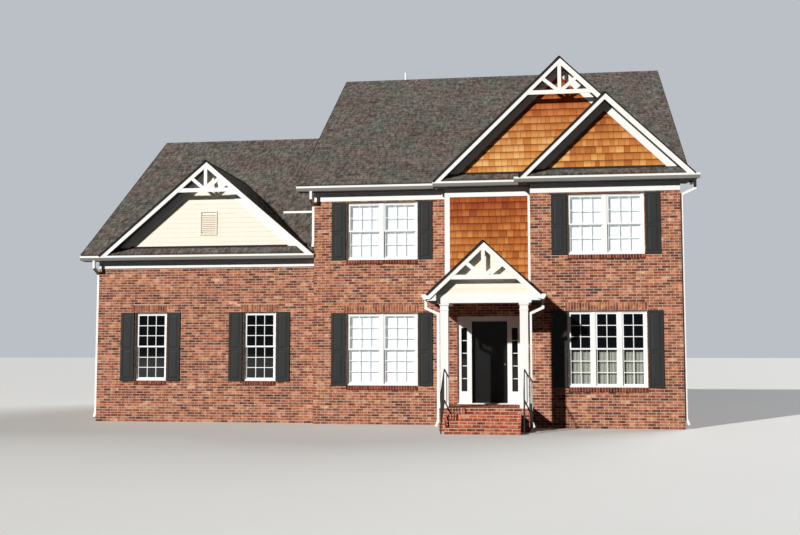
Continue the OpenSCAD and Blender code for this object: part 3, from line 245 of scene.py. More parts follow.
def makeCedar(name, stops, foot, top, shade):
    f = Finish(name)
    wood = f.ramp(f.tone(), stops)
    grain = f.noise(90.0, 4.0, 0.6, (1, 1, 0.07))
    stain = f.noise(2.2, 3.0)
    height = f.height()
    # painted shade darkens the top of each course, under the next course's butt
    course = f.add("ShaderNodeMath", {"operation": "FRACT"}, {0: (height - foot) / courseRise["cedar"]})
    wood = f.wash(wood, f.span(grain, 0.0, 0.6), (206, 170, 134))
    wood = f.wash(wood, f.span(stain, -0.3, 0.8), (232, 202, 170))
    wood = f.wash(wood, course ** 3.0, (176, 136, 106))
    # the last 1.3 m under the eaves grow darker and redder
    high = f.add("ShaderNodeMapRange", None,
                 {"Value": height, "From Min": top - 1.3, "From Max": top, "To Min": 0.0, "To Max": shade})
    wood = f.wash(wood, high, (202, 142, 116))
    return f.close(wood, f.span(grain, 0.66, 0.9), {"Specular IOR Level": 0.25}, f.bump(grain, 0.4, 0.003))


def makePaint(name, color, worn, rough, patchSize=3.0, strength=0.25, gloss=0.5, glow=0.0):
    f = Finish(name)
    film = f.noise(46.0, 3.0)
    weather = f.noise(patchSize, 4.0, 0.6, (1, 1, 0.35))
    base = f.mix(f.span(weather, -0.35, 0.75), paint(*color), paint(*worn))
    return f.close(base, f.span(film, rough - 0.08, rough + 0.1),
                   {"Specular IOR Level": gloss, "Emission Color": paint(*color), "Emission Strength": glow},
                   f.bump(film, strength, 0.001))


def makeMetal(name, color, worn, rough, metallic=0.0, shadeBelow=None):
    f = Finish(name)
    smear = f.noise(7.0, 4.0, 0.6, (0.3, 1, 2.5))
    base = f.mix(f.span(smear, -0.3, 0.8), paint(*color), paint(*worn))
    # faces that point down can be given a painted shade
    if shadeBelow:
        base = f.mix(f.underside(), base, paint(*shadeBelow))
    return f.close(base, f.span(smear, rough - 0.08, rough + 0.12), {"Metallic": metallic},
                   f.bump(f.noise(24.0, 2.0), 0.12, 0.002))


def makeBoards():
    f = Finish("floorBoards")
    plank = f.add("ShaderNodeTexBrick", {"offset": 0.37},
                  {"Vector": f.place(), "Color1": (0.2, 0.2, 0.2, 1), "Color2": (0.8, 0.8, 0.8, 1),
                   "Mortar": (0, 0, 0, 1), "Scale": 1.0, "Mortar Size": 0.002, "Brick Width": 1.6,
                   "Row Height": 0.09})
    grain = f.noise(22.0, 4.0, 0.6, (0.08, 1, 1))
    base = f.ramp(plank, [(0.0, (60, 40, 26)), (0.2, (142, 104, 68)), (0.8, (180, 140, 96))])
    base = f.wash(base, f.span(grain, 0.0, 0.6), (190, 160, 130))
    return f.close(base, f.span(grain, 0.45, 0.65), {}, f.bump(grain, 0.2, 0.002))


# Panes are clear above a height and in two boxes, where a blind or the curtain hangs behind them; elsewhere
# they are nearly opaque and dark, a painted shade for the unlit rooms behind
clearPanes = {
    "above": 3.5,
    "boxes": (((windowAt["main"], 0.1, 1.912), (1.1, 0.3, 1.2)),
              ((windowAt["bay"], -0.62, 1.43), (1.1, 0.3, 0.48)))}


def makeGlass():
    f = Finish("windowPane")
    wave = f.noise(1.6, 1.0)
    axes = [f.add("ShaderNodeSeparateXYZ", None, {"Vector": f.place()}, axis) for axis in "XYZ"]
    clear = axes[2] > clearPanes["above"]
    for middle, half in clearPanes["boxes"]:
        near = [f.add("ShaderNodeMath", {"operation": "COMPARE"}, {0: axis, 1: place, 2: reach})
                for axis, place, reach in zip(axes, spot(*middle), half)]
        clear = clear + near[0] * near[1] * near[2]
    # dark, nearly opaque panes elsewhere: painted shade for the rooms behind
    return f.close(f.mix(wave, paint(9, 11, 13), paint(16, 20, 24)), f.span(wave, 0.02, 0.06),
                   {"IOR": 1.5, "Alpha": f.span(clear, 0.9, 0.07)}, f.bump(wave, 0.02, 0.01))


def makeSheer():
    f = Finish("sheerCloth")
    threads = f.noise(420.0, 2.0, 0.7, (1, 1, 0.3))
    return f.close(f.mix(threads, paint(216, 220, 208), paint(188, 194, 180)), 0.95,
                   {"Alpha": f.span(threads, 0.55, 0.8)}, f.bump(threads, 0.2, 0.001))


def makeSoffit():
    # painted fronts; the undersides carry a painted shade, darker still in the vent slots
    f = Finish("soffitPaint")
    weather = f.noise(3.0, 4.0, 0.6, (1, 1, 0.35))
    slots = f.add("ShaderNodeTexWave", {"wave_type": "BANDS", "bands_direction": "X"},
                  {"Vector": f.place(), "Scale": 9.0, "Distortion": 0.0}, "Fac")
    front = f.mix(f.span(weather, -0.35, 0.75), paint(244, 244, 241), paint(226, 224, 217))
    shade = f.mix(f.span(slots, 0.0, 0.35), paint(70, 68, 65), paint(50, 48, 46))
    return f.close(f.mix(f.underside(), front, shade), f.span(weather, 0.5, 0.7),
                   {"Specular IOR Level": 0.1}, f.bump(f.noise(46.0, 3.0), 0.25, 0.001))


finishes = {
    "brick": makeBrick("brickFace", [
        (0.0, (120, 80, 68)), (0.16, (146, 90, 72)), (0.34, (172, 104, 80)), (0.52, (206, 128, 94)),
        (0.7, (234, 168, 122)), (0.86, (212, 134, 112)), (1.0, (244, 196, 156))]),
    "sillBrick": makeBrick("sillBrickFace", [
        (0.0, (104, 50, 40)), (0.3, (138, 68, 50)), (0.6, (162, 82, 58)), (1.0, (186, 104, 74))]),
    "stepBrick": makeBrick("stepBrickFace", [
        (0.0, (124, 70, 54)), (0.2, (158, 82, 60)), (0.5, (206, 110, 78)), (0.8, (230, 132, 96)),
        (1.0, (240, 166, 126))]),
    "mortar": makeMortar(),
    "asphalt": makeAsphalt(),
    "edging": makePaint("roofEdging", (48, 46, 44), (36, 34, 33), 0.8, gloss=0.15),
    "cedar": makeCedar("cedarShingle", [
        (0.0, (190, 118, 56)), (0.25, (216, 150, 76)), (0.5, (236, 180, 102)), (0.8, (250, 208, 138)),
        (1.0, (226, 164, 90))], 6.35, 8.1, 0.9),
    "darkCedar": makeCedar("cedarShingleDark", [
        (0.0, (164, 94, 40)), (0.25, (190, 116, 52)), (0.5, (208, 136, 66)), (0.8, (228, 164, 92)),
        (1.0, (196, 120, 58))], 3.3, 5.7, 0.85),
    "cream": makePaint("creamSiding", (240, 234, 218), (232, 223, 204), 0.6),
    "white": makePaint("whitePaint", (244, 244, 241), (230, 228, 222), 0.5),
    "soffit": makeSoffit(),
    "vinyl": makePaint("windowVinyl", (246, 246, 244), (232, 232, 228), 0.38, 6.0, 0.1),
    # the gutters' downward faces carry a painted shade
    "gutter": makeMetal("gutterMetal", (246, 246, 243), (230, 229, 222), 0.45, shadeBelow=(158, 156, 150)),
    "charcoal": makePaint("shutterPaint", (50, 52, 51), (38, 40, 40), 0.6, gloss=0.15),
    "black": makePaint("doorPaint", (12, 12, 13), (7, 7, 8), 0.45, gloss=0.2),
    "iron": makeMetal("railIron", (12, 12, 13), (26, 22, 20), 0.6),
    "brass": makeMetal("agedBrass", (128, 102, 60), (92, 72, 44), 0.42, 0.9),
    "boards": makeBoards(),
    "plaster": makePaint("plaster", (226, 224, 216), (214, 210, 200), 0.85),
    "glass": makeGlass(),
    # painted light: the blinds glow a little, lifting their shaded parts
    "blind": makePaint("blindSlat", (245, 252, 254), (238, 247, 250), 0.5, 9.0, 0.1, 0.3, 0.2),
    "louvre": makePaint("ventLouvre", (238, 228, 210), (228, 216, 196), 0.6),
    "sheer": makeSheer(),
}

# Which finish each CAD node carries
nodeFinish = {
    "mortar": ["main_front_wall", "entry_piers", "entry_head_and_sill", "return_walls", "bay_front_wall",
               "right_wall", "back_wall", "left_wall", "wing_front_wall", "wing_left_wall", "wing_back_wall",
               "window_sills", "porch_floor", "porch_steps"],
    "cedar": ["shingle_gable_walls"],
    "darkCedar": ["entry_shingle_wall"],
    "cream": ["wing_gable_wall", "side_gable_walls", "porch_gable_wall"],
    "louvre": ["gable_vent"],
    "white": ["trim_boards", "barge_boards", "gable_trusses", "entry_frame", "porch_columns", "porch_beams"],
    "soffit": ["eave_boxes"],
    "vinyl": ["front_windows", "side_windows"],
    "gutter": ["gutters", "downspouts", "roof_fittings"],
    "asphalt": ["main_roof", "wing_roof", "big_gable_roof", "small_gable_roof", "wing_gable_roof",
                "porch_roof", "pent_roofs"],
    "boards": ["ground_floors", "upper_floor"],
    "plaster": ["ceilings"],
    "glass": ["window_glass"],
    "charcoal": ["shutters"],
    "black": ["front_door"],
    "brass": ["door_handle"],
    "iron": ["door_hinges", "handrails"],
}
for finish, names in nodeFinish.items():
    for name in names:
        nodes[name].data.materials.clear()
        nodes[name].data.materials.append(finishes[finish])
print("node finishes set")


# A flat side of the house: a point on it, then the ways along it, up it and out of it
class Face:
    def __init__(self, start, along, up, out):
        self.start = spot(*start)
        self.along = Vector(along).normalized()
        self.up = Vector(up).normalized()
        self.out = Vector(out).normalized()
        self.turned = self.along.cross(self.up).dot(self.out) < 0

    def point(self, u, v, lift):
        return self.start + self.along * u + self.up * v + self.out * lift


sides = {"front": ((1, 0, 0), (0, -1, 0)), "back": ((1, 0, 0), (0, 1, 0)),
         "left": ((0, 1, 0), (-1, 0, 0)), "right": ((0, 1, 0), (1, 0, 0))}


def wallFace(side, place):
    along, out = sides[side]
    return Face([abs(part) * place for part in out], along, (0, 0, 1), out)


class Mesher:
    def __init__(self):
        self.points = []
        self.faces = []
        self.tones = []

    def addFaces(self, face, rings, tone):
        self.faces += [ring[::-1] for ring in rings] if face.turned else rings
        self.tones += [tone] * len(rings)

    def slab(self, face, outline, low, lifts, tone):
        # a flat tile with its outline in u and v, from the depth low to a lift for each corner
        n = len(outline)
        first = len(self.points)
        self.points += [face.point(u, v, h) for (u, v), h in zip(outline, lifts)]
        self.points += [face.point(u, v, low) for u, v in outline]
        rings = [tuple(range(first, first + n))]
        for k in range(n):
            j = (k + 1) % n
            rings.append((first + j, first + k, first + n + k, first + n + j))
        self.addFaces(face, rings, tone)

    def box(self, face, u0, u1, v0, v1, low, high, tone=0.5, bevel=0.0):
        first = len(self.points)
        for lift, b in ((low, 0.0), (high, bevel)):
            self.points += [face.point(u, v, lift) for u, v in rectangle(u0 + b, u1 - b, v0 + b, v1 - b)]
        rings = [(0, 3, 2, 1), (4, 5, 6, 7), (0, 1, 5, 4), (1, 2, 6, 5), (2, 3, 7, 6), (3, 0, 4, 7)]
        self.addFaces(face, [tuple(first + k for k in ring) for ring in rings], tone)

    def prism(self, face, section, u0, u1, tone=0.5):
        # a section in depth and height, run along the face
        n = len(self.points)
        k = len(section)
        self.points += [face.point(u, v, d) for u in (u0, u1) for d, v in section]
        rings = [tuple(range(n, n + k))[::-1], tuple(range(n + k, n + 2 * k))]
        rings += [(n + i, n + (i + 1) % k, n + k + (i + 1) % k, n + k + i) for i in range(k)]
        self.addFaces(face, rings, tone)

    def build(self, name, finish, slot, body="house"):
        if not self.points:
            return
        mesh = newMesh(name, self.points, self.faces, finishes[finish])
        tones = mesh.attributes.new("tone", "FLOAT", "FACE")
        tones.data.foreach_set("value", self.tones)
        mesh.update()
        piece = newObject(name, mesh)
        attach(piece, body)


def rectangle(u0, u1, v0, v1):
    return [(u0, v0), (u1, v0), (u1, v1), (u0, v1)]


def cutRect(rect, holes):
    # what is left of a rectangle round some rectangular holes
    left = [rect]
    for h0, h1, k0, k1 in holes:
        rest = []
        for u0, u1, v0, v1 in left:
            if u1 <= h0 or u0 >= h1 or v1 <= k0 or v0 >= k1:
                rest.append((u0, u1, v0, v1))
                continue
            a, b = max(u0, h0), min(u1, h1)
            if u0 < h0:
                rest.append((u0, h0, v0, v1))
            if u1 > h1:
                rest.append((h1, u1, v0, v1))
            if v0 < k0:
                rest.append((a, b, v0, k0))
            if v1 > k1:
                rest.append((a, b, k1, v1))
        left = rest
    return left


def clip(outline, region):
    # the part of an outline inside a convex region whose corners run anticlockwise
    for k in range(len(region)):
        (ax, ay), (bx, by) = region[k], region[(k + 1) % len(region)]
        kept = []
        for j in range(len(outline)):
            p, q = outline[j], outline[(j + 1) % len(outline)]
            sideP = (bx - ax) * (p[1] - ay) - (by - ay) * (p[0] - ax)
            sideQ = (bx - ax) * (q[1] - ay) - (by - ay) * (q[0] - ax)
            if sideP >= -1e-9:
                kept.append(p)
            if (sideP > 0) != (sideQ > 0) and min(abs(sideP), abs(sideQ)) > 1e-9:
                t = sideP / (sideP - sideQ)
                kept.append((p[0] + t * (q[0] - p[0]), p[1] + t * (q[1] - p[1])))
        outline = kept
        if len(outline) < 3:
            return []
    return outline


scrap = {"wide": 0.012, "tall": 0.008}  # anything smaller is left out


def drawTone(middle, spread):
    return min(1.0, max(0.0, dice.gauss(middle, spread)))


def coverFace(mesher, face, region, style, holes=()):
    # lays a face with rows of bricks, shingles or boards, every second row half a piece along
    lowU, highU = min(p[0] for p in region), max(p[0] for p in region)
    lowV, highV = min(p[1] for p in region), max(p[1] for p in region)
    v, row = lowV, 0
    while v < highV - 1e-6:
        top = v + style["rise"] - style["bed"]
        u = lowU - style["length"][0] * (0.5 if row % 2 else 0.0) - dice.random() * style.get("stray", 0.0)
        while u < highU:
            length = dice.uniform(*style["length"])
            end = u + length - style["gap"]
            tone = drawTone(style.get("middle", 0.5), style.get("spread", 0.24))
            butt = style["butt"] + dice.uniform(-1, 1) * style.get("uneven", 0.0)
            for a, b, c, d in cutRect((u, end, v, top), holes):
                if b - a < scrap["wide"] or d - c < scrap["tall"]:
                    continue
                shape = clip(rectangle(a, b, c, d), region)
                if len(shape) > 2:
                    lifts = [butt + (style["head"] - butt) * (q - v) / (top - v) for p, q in shape]
                    mesher.slab(face, shape, style.get("low", 0.0), lifts, tone)
            u += length
        v += style["rise"]
        row += 1


# Windows: bottom and top of each row of them, and the width of one, two or three units
lowRow, upRow, wingRow = (0.981, 2.843), (4.214, 5.726), (1.079, 2.895)
windowWide = {1: 0.884, 2: 1.86, 3: 1.895}


def window(middle, row, units=1, blind=0.0):
    half = windowWide[units] / 2
    bars = (2 if units == 3 else 3, 2 if row is upRow else 3)
    return {"box": (middle - half, middle + half, *row), "units": units, "bars": bars, "blind": blind}


brickTop = {"front": 5.755, "side": 6.066, "return": 5.98, "entry": 3.3, "wing": 4.09, "wingSide": 4.361}
wingWindows = [window(middle, wingRow) for middle in windowAt["wing"]]
walls = {}
# each wall's side, place, start and end along it, kind of top and windows
for name, side, place, u0, u1, top, windows in (
        ("mainFront", "front", 0, 0, house["entryLeft"], "front",
         [window(windowAt["main"], row, 2, 1.0) for row in (lowRow, upRow)]),
        ("entry", "front", house["entryFront"], house["entryLeft"], house["entryRight"], "entry", []),
        ("entryReturn", "left", house["entryLeft"], house["entryFront"], 0, "return", []),
        ("bayReturn", "left", house["entryRight"], house["bayFront"], house["entryFront"], "return", []),
        ("bayFront", "front", house["bayFront"], house["entryRight"], house["right"], "front",
         [window(windowAt["bay"], lowRow, 3), window(windowAt["bay"], upRow, 2, 1.0)]),
        ("right", "right", house["right"], house["bayFront"], house["back"], "side",
         [window(k * house["back"] / 5, row, 1, blind)
          for k in (1, 2, 3, 4) for row, blind in ((lowRow, 0.0), (upRow, 0.5))]),
        ("back", "back", house["back"], 0, house["right"], "front",
         [window(k * house["right"] / 4, row, 2, blind)
          for k in (1, 3) for row, blind in ((lowRow, 0.0), (upRow, 0.5))]),
        ("wingFront", "front", house["wingFront"], house["wingLeft"], 0, "wing", wingWindows),
        ("wingLeft", "left", house["wingLeft"], house["wingFront"], house["wingBack"], "wingSide",
         [window(house["wingFront"] + k * house["wingDeep"] / 4, wingRow) for k in (1, 2, 3)]),
        ("wingBack", "back", house["wingBack"], house["wingLeft"], 0, "wing", wingWindows)):
    walls[name] = {"face": wallFace(side, place), "region": rectangle(u0, u1, 0, brickTop[top]),
                   "windows": windows, "holes": []}
# the doorway and the end of the porch floor
walls["entry"]["holes"] = [(3.746, 5.356, 0.54, 2.731), (3.476, 5.564, 0, 0.54)]

# Brickwork, with upright bricks over the lower windows and bricks on edge laid over the sills
brickwork = {"rise": courseRise["brick"], "bed": 0.012, "length": (0.203, 0.203), "gap": 0.012,
             "butt": 0.004, "head": 0.004, "uneven": 0.0012}
soldiers = {"rise": 0.203, "bed": 0.010, "length": (courseRise["brick"], courseRise["brick"]), "gap": 0.011,
            "butt": 0.005, "head": 0.005, "uneven": 0.0012, "spread": 0.13}
soldierRow = {"past": 0.05, "above": 0.005, "under": 3}
sill = {"high": 0.1, "joint": 0.004, "middle": 0.45, "spread": 0.25,
        "section": ((0.034, -0.1), (0.034, -0.018), (-0.07, 0.003), (-0.07, -0.1))}
past = soldierRow["past"]
for name, wall in walls.items():
    mesher, sills = Mesher(), Mesher()
    face = wall["face"]
    holes = list(wall["holes"])
    for w in wall["windows"]:
        u0, u1, v0, v1 = w["box"]
        holes.append((u0, u1, v0 - sill["high"], v1))
        if v1 < soldierRow["under"]:
            holes.append((u0 - past, u1 + past, v1, v1 + soldiers["rise"]))
    coverFace(mesher, face, wall["region"], brickwork, holes)
    for w in wall["windows"]:
        u0, u1, v0, v1 = w["box"]
        if v1 < soldierRow["under"]:
            row = rectangle(u0 - past, u1 + past, v1 + soldierRow["above"], v1 + soldiers["rise"])
            coverFace(mesher, face, row, soldiers)
        count = round((u1 - u0) / courseRise["brick"])
        step = (u1 - u0) / count
        for k in range(count):
            sills.prism(face, [(depth, v0 + rise) for depth, rise in sill["section"]],
                        u0 + k * step + sill["joint"], u0 + (k + 1) * step - sill["joint"],
                        drawTone(sill["middle"], sill["spread"]))
    mesher.build("bricks_" + name, "brick", "brick")
    sills.build("sillBricks_" + name, "sillBrick", "brick")

# The main block's left wall shows in front of, over and behind the wing
leftFace = wallFace("left", 0)
leftWall = {"wingTop": 66 * courseRise["brick"], "frontSlope": 2.46, "backSlope": 9.94}
wingTop, brickHigh = leftWall["wingTop"], brickTop["side"]
mesher = Mesher()
for region in (
        rectangle(0, house["wingFront"], 0, wingTop),
        [(0, wingTop), (house["wingFront"], wingTop), (leftWall["frontSlope"], brickHigh), (0, brickHigh)],
        rectangle(house["wingBack"], house["back"], 0, wingTop),
        [(house["wingBack"], wingTop), (house["back"], wingTop), (house["back"], brickHigh),
         (leftWall["backSlope"], brickHigh)]):
    coverFace(mesher, leftFace, region, brickwork)
mesher.build("bricks_left", "brick", "brick")
print("brickwork laid")

# Steps and porch floor, bricks on every side; the first of the four is the floor
stair = {"count": 4, "front": -2.13, "tread": 0.28, "top": 0.54, "rise": 0.135, "floor": (3.476, 5.564),
         "steps": (3.67, 5.37), "course": 0.0675, "floorCourse": 0.1, "lift": 0.003}
mesher = Mesher()
for k in range(stair["count"]):
    front = stair["front"] - stair["tread"] * k
    back = stair["front"] - stair["tread"] * (k - 1) if k else house["entryFront"]
    top = stair["top"] - stair["rise"] * k
    x0, x1 = stair["steps" if k else "floor"]
    upright = dict(brickwork, rise=stair["course"])
    flat = dict(brickwork, rise=stair["course" if k else "floorCourse"], butt=stair["lift"],
                head=stair["lift"])
    topFace = Face((0, 0, top), (0, 1, 0), (1, 0, 0), (0, 0, 1))
    for side, place, ends in (
            ("front", front, (x0, x1)), ("left", x0, (front, back)), ("right", x1, (front, back))):
        coverFace(mesher, wallFace(side, place), rectangle(*ends, 0, top), upright)
    coverFace(mesher, topFace, rectangle(front, back, x0, x1), flat)
mesher.build("bricks_steps", "stepBrick", "brick")
print("steps laid")

# Roof shingles
shingles = {"rise": courseRise["roof"], "bed": 0.0, "length": (0.08, 0.2), "gap": 0.005, "butt": 0.011,
            "head": 0.002, "uneven": 0.002, "stray": 0.2, "low": -0.002}
starters = dict(shingles, low=-0.02, butt=0.024, head=0.013)  # the thicker lowest course
mainPitch, wingPitch, frontPitch = 0.6667, 0.6937, 0.9696
far = 99  # past the end of any slope


def slopeFace(foot, rise, direction):
    # a roof slope through foot that climbs by rise for each metre along direction
    dx, dy = direction
    return Face(foot, (abs(dy), abs(dx), 0), (dx, dy, rise), (-dx * rise, -dy * rise, 1.0))


def alongSlope(run, pitch):
    return run * math.hypot(1.0, pitch)


# Both blocks: the lowest course hangs over the gutter, whose rim is further from the wall
eave = {"lap": 0.285, "rim": 0.335}
blocks = {
    "main": {"front": 0, "back": house["back"], "rimHigh": 6.113, "half": 6.521, "pitch": mainPitch,
             "left": -0.42, "right": 9.55, "cut": (3.45, 9.6, 0.0),
             "soffits": ((-0.385, 0.0), (house["right"], 9.516))},
    "wing": {"front": house["wingFront"], "back": house["wingBack"], "rimHigh": 4.401, "half": 5.939,
             "pitch": wingPitch, "left": -6.41, "right": -0.004, "cut": (-5.65, -0.245, 0.14),
             "soffits": ((-6.378, house["wingLeft"]),)},
}
roofs = {}
for name, block in blocks.items():
    pitch = block["pitch"]
    block["run"] = alongSlope(block["half"] + eave["lap"], pitch)
    foot = block["rimHigh"] + (eave["rim"] - eave["lap"]) * pitch
    region = rectangle(block["left"], block["right"], 0, block["run"])
    cutLeft, cutRight, cutMore = block["cut"]  # no eave where the front gables stand
    cut = (cutLeft, cutRight, -far, alongSlope(eave["lap"] + cutMore, pitch))
    front, back = block["front"] - eave["lap"], block["back"] + eave["lap"]
    roofs[name + "Front"] = [(slopeFace((0, front, foot), pitch, (0, 1)), region, [cut])]
    roofs[name + "Back"] = [(slopeFace((0, back, foot), pitch, (0, -1)), region, [])]

mainBlock, wingBlock = blocks.values()

# Front gables, the large one's right slope running on over the small one; drop is the upright thickness
gables = {
    "big": {"left": 3.166, "right": 9.548, "foot": 6.113, "pitch": frontPitch, "front": -0.65,
            "soffit": -0.604, "wall": house["entryFront"], "half": 3.191, "valley": -0.335, "drop": 0.153,
            "pentEnd": 5.318},
    "small": {"left": 5.319, "foot": 6.113, "pitch": frontPitch, "front": -1.087, "soffit": -1.041,
              "wall": house["bayFront"], "half": 2.1145, "step": -0.62, "back": -0.305, "backHalf": 2.03,
              "drop": 0.153},
    "wing": {"left": -5.883, "right": -0.013, "foot": 4.401, "pitch": 0.8569, "front": -0.087,
             "soffit": -0.041, "wall": house["wingFront"], "valley": -0.073, "drop": 0.145},
    "porch": {"left": 3.184, "right": 5.856, "foot": 3.175, "pitch": 0.9409, "front": -2.297,
              "soffit": -2.251, "wall": -2.083, "half": 1.336, "back": -0.307, "drop": 0.153,
              "ends": {"left": (1, 0.255, -0.006), "right": (-1, 0.249, -0.744)}},
}
big, small, wing, porch = gables.values()


def gableRoof(gable, valleyPitch):
    # both slopes of a front gable, up to the valley where they die into the roof behind
    steep = gable["pitch"]
    run = alongSlope((gable["right"] - gable["left"]) / 2, steep)
    valleyEnd = run * math.sin(math.atan(steep)) / valleyPitch + gable["valley"]
    shape = [(gable["front"], 0), (gable["valley"], 0), (valleyEnd, run), (gable["front"], run)]
    return [(slopeFace((gable["left"], 0, gable["foot"]), steep, (1, 0)), shape, []),
            (slopeFace((gable["right"], 0, gable["foot"]), steep, (-1, 0)), shape, [])]


smallRun = alongSlope(small["half"], frontPitch)
bigLeft, bigRight = gableRoof(big, mainPitch)
bigRightFace = bigRight[0]
shared = [(small["front"] if u == big["front"] else u, v) for u, v in bigRight[1]]
roofs["bigGable"] = [bigLeft, (bigRightFace, shared, [(-far, big["front"], smallRun, far)])]
smallFace = slopeFace((small["left"], 0, small["foot"]), frontPitch, (1, 0))
roofs["smallGable"] = [
    (smallFace, rectangle(small["front"], small["step"], 0, smallRun), []),
    (smallFace, rectangle(small["step"], small["back"], 0, alongSlope(small["backHalf"], frontPitch)), [])]
roofs["wingGable"] = gableRoof(wing, wingPitch)
porchRun = alongSlope(porch["half"], porch["pitch"])
roofs["porch"] = []
# the lowest courses end on the main wall at the left and on the bay at the right
for side, (way, reach, back) in porch["ends"].items():
    face = slopeFace((porch[side], 0, porch["foot"]), porch["pitch"], (way, 0))
    wide = alongSlope(reach, porch["pitch"])
    roofs["porch"] += [(face, rectangle(porch["front"], back, 0, wide), []),
                       (face, rectangle(porch["front"], porch["back"], wide, porchRun), [])]


def pentRoof(gable, right, block, rightOpen=True):
    # the short slope at the foot of a front gable, shut in between the gable's slopes
    left, pitch = gable["left"], block["pitch"]
    z0 = block["rimHigh"] + (eave["rim"] - eave["lap"]) * pitch
    z1 = block["rimHigh"] + eave["rim"] * pitch
    inset0, inset1 = [(z - block["rimHigh"] + gable["drop"]) / gable["pitch"] for z in (z0, z1)]
    run = alongSlope(eave["lap"], pitch)
    shape = [(left + inset0, 0), (right - (inset0 if rightOpen else 0), 0),
             (right - (inset1 if rightOpen else 0), run), (left + inset1, run)]
    return (slopeFace((0, gable["wall"] - eave["lap"], z0), pitch, (0, 1)), shape, [])


roofs["pents"] = [pentRoof(big, big["pentEnd"], mainBlock, False), pentRoof(small, big["right"], mainBlock),
                  pentRoof(wing, wing["right"], wingBlock)]
for name, slopes in roofs.items():
    mesher = Mesher()
    for face, region, holes in slopes:
        if name in ("mainFront", "mainBack", "wingFront", "wingBack", "pents"):
            starter = clip(region, rectangle(-far, far, 0, shingles["rise"]))
            coverFace(mesher, face, starter, starters, holes)
            region = clip(region, rectangle(-far, far, shingles["rise"], far))
        coverFace(mesher, face, region, shingles, holes)
    mesher.build("shingles_" + name, "asphalt", "asphalt_shingles")

# Dark edging along the gables, over the top of the barge boards
edging = {"left": -0.042, "right": -0.02, "over": 0.012, "thick": 0.012}
mesher = Mesher()


def edgeStrip(face, start, foot, top):
    under = edging["right" if face.out.x > 0.1 else "left"]
    mesher.box(face, start, start + edging["thick"], foot, top, under, edging["over"])


edged = {name + end: block["left"] for name, block in blocks.items() for end in ("Front", "Back")}
edged.update(bigGable=big["front"], smallGable=small["front"], wingGable=wing["front"], porch=porch["front"])
for name, front in edged.items():
    for face, region, holes in roofs[name]:
        if region[0][0] != front:
            continue  # parts behind the gable's front, and the shared slope, which follows
        foot, top = min(v for u, v in region), max(v for u, v in region)
        edgeStrip(face, front, foot, top)
        if name.startswith("main"):
            edgeStrip(face, mainBlock["right"] - edging["thick"], foot, top)
edgeStrip(bigRightFace, big["front"], smallRun, alongSlope(big["half"], frontPitch))
edgeStrip(bigRightFace, small["front"], 0.0, smallRun)
mesher.build("rakeEdging", "edging", "asphalt_shingles")

# Ridge caps, lapped along each ridge
cap = {"wide": 0.15, "butt": 0.016, "head": 0.008, "tones": (0.15, 0.9)}
ridges = {
    "main": {"top": 10.683, "pitch": mainPitch,
             "line": (mainBlock["left"], 6.521, mainBlock["right"], 6.521)},
    "wing": {"top": 8.754, "pitch": wingPitch, "line": (wingBlock["left"], 6.201, -0.01, 6.201)},
    "bigGable": {"top": 9.207, "pitch": frontPitch, "line": (6.357, big["front"], 6.357, 4.3)},
    "smallGable": {"top": 8.163, "pitch": frontPitch, "line": (7.4335, small["front"], 7.4335, -0.65)},
    "wingGable": {"top": 6.916, "pitch": wing["pitch"], "line": (-2.948, wing["front"], -2.948, 3.55)},
    "porch": {"top": 4.432, "pitch": porch["pitch"], "line": (4.52, porch["front"], 4.52, -0.31)},
}
for name, ridge in ridges.items():
    mesher = Mesher()
    x0, y0, x1, y1 = ridge["line"]
    length = math.hypot(x1 - x0, y1 - y0)
    along = ((x1 - x0) / length, (y1 - y0) / length, 0)
    count = round(length / courseRise["roof"])
    for side in (-1, 1):
        acrossX, acrossY = -along[1] * side, along[0] * side
        face = Face((x0, y0, ridge["top"]), along, (acrossX, acrossY, -ridge["pitch"]),
                    (acrossX * ridge["pitch"], acrossY * ridge["pitch"], 1.0))
        for k in range(count):
            mesher.slab(face, rectangle(k * length / count, (k + 1) * length / count, 0, cap["wide"]), 0.0,
                        [cap["butt"], cap["head"], cap["head"], cap["butt"]], dice.uniform(*cap["tones"]))
    mesher.build("ridgeCaps_" + name, "asphalt", "asphalt_shingles")
print("roofs shingled")

# Cedar wall shingles; each outline is the wall's part between its trim boards
cedar = {"rise": courseRise["cedar"], "bed": 0.0, "length": (0.09, 0.2), "gap": 0.008, "butt": 0.017,
         "head": 0.003, "uneven": 0.002, "stray": 0.1, "spread": 0.17}
entryFace, bayFace, wingFace = walls["entry"]["face"], walls["bayFront"]["face"], walls["wingFront"]["face"]
for name, finish, face, region, style in (
        ("entry", "darkCedar", entryFace, rectangle(3.575, 5.536, 3.3, 5.75), cedar),
        ("bigGable", "cedar", entryFace,
         [(3.797, 6.35), (5.563, 6.35), (7.23, 7.966), (6.357, 8.812)], cedar),
        ("smallGable", "cedar", bayFace, [(5.971, 6.35), (8.896, 6.35), (7.4335, 7.768)],
         dict(cedar, middle=0.3))):
    mesher = Mesher()
    coverFace(mesher, face, region, style)
    mesher.build("cedarShingles_" + name, finish, "cedar_shingles")

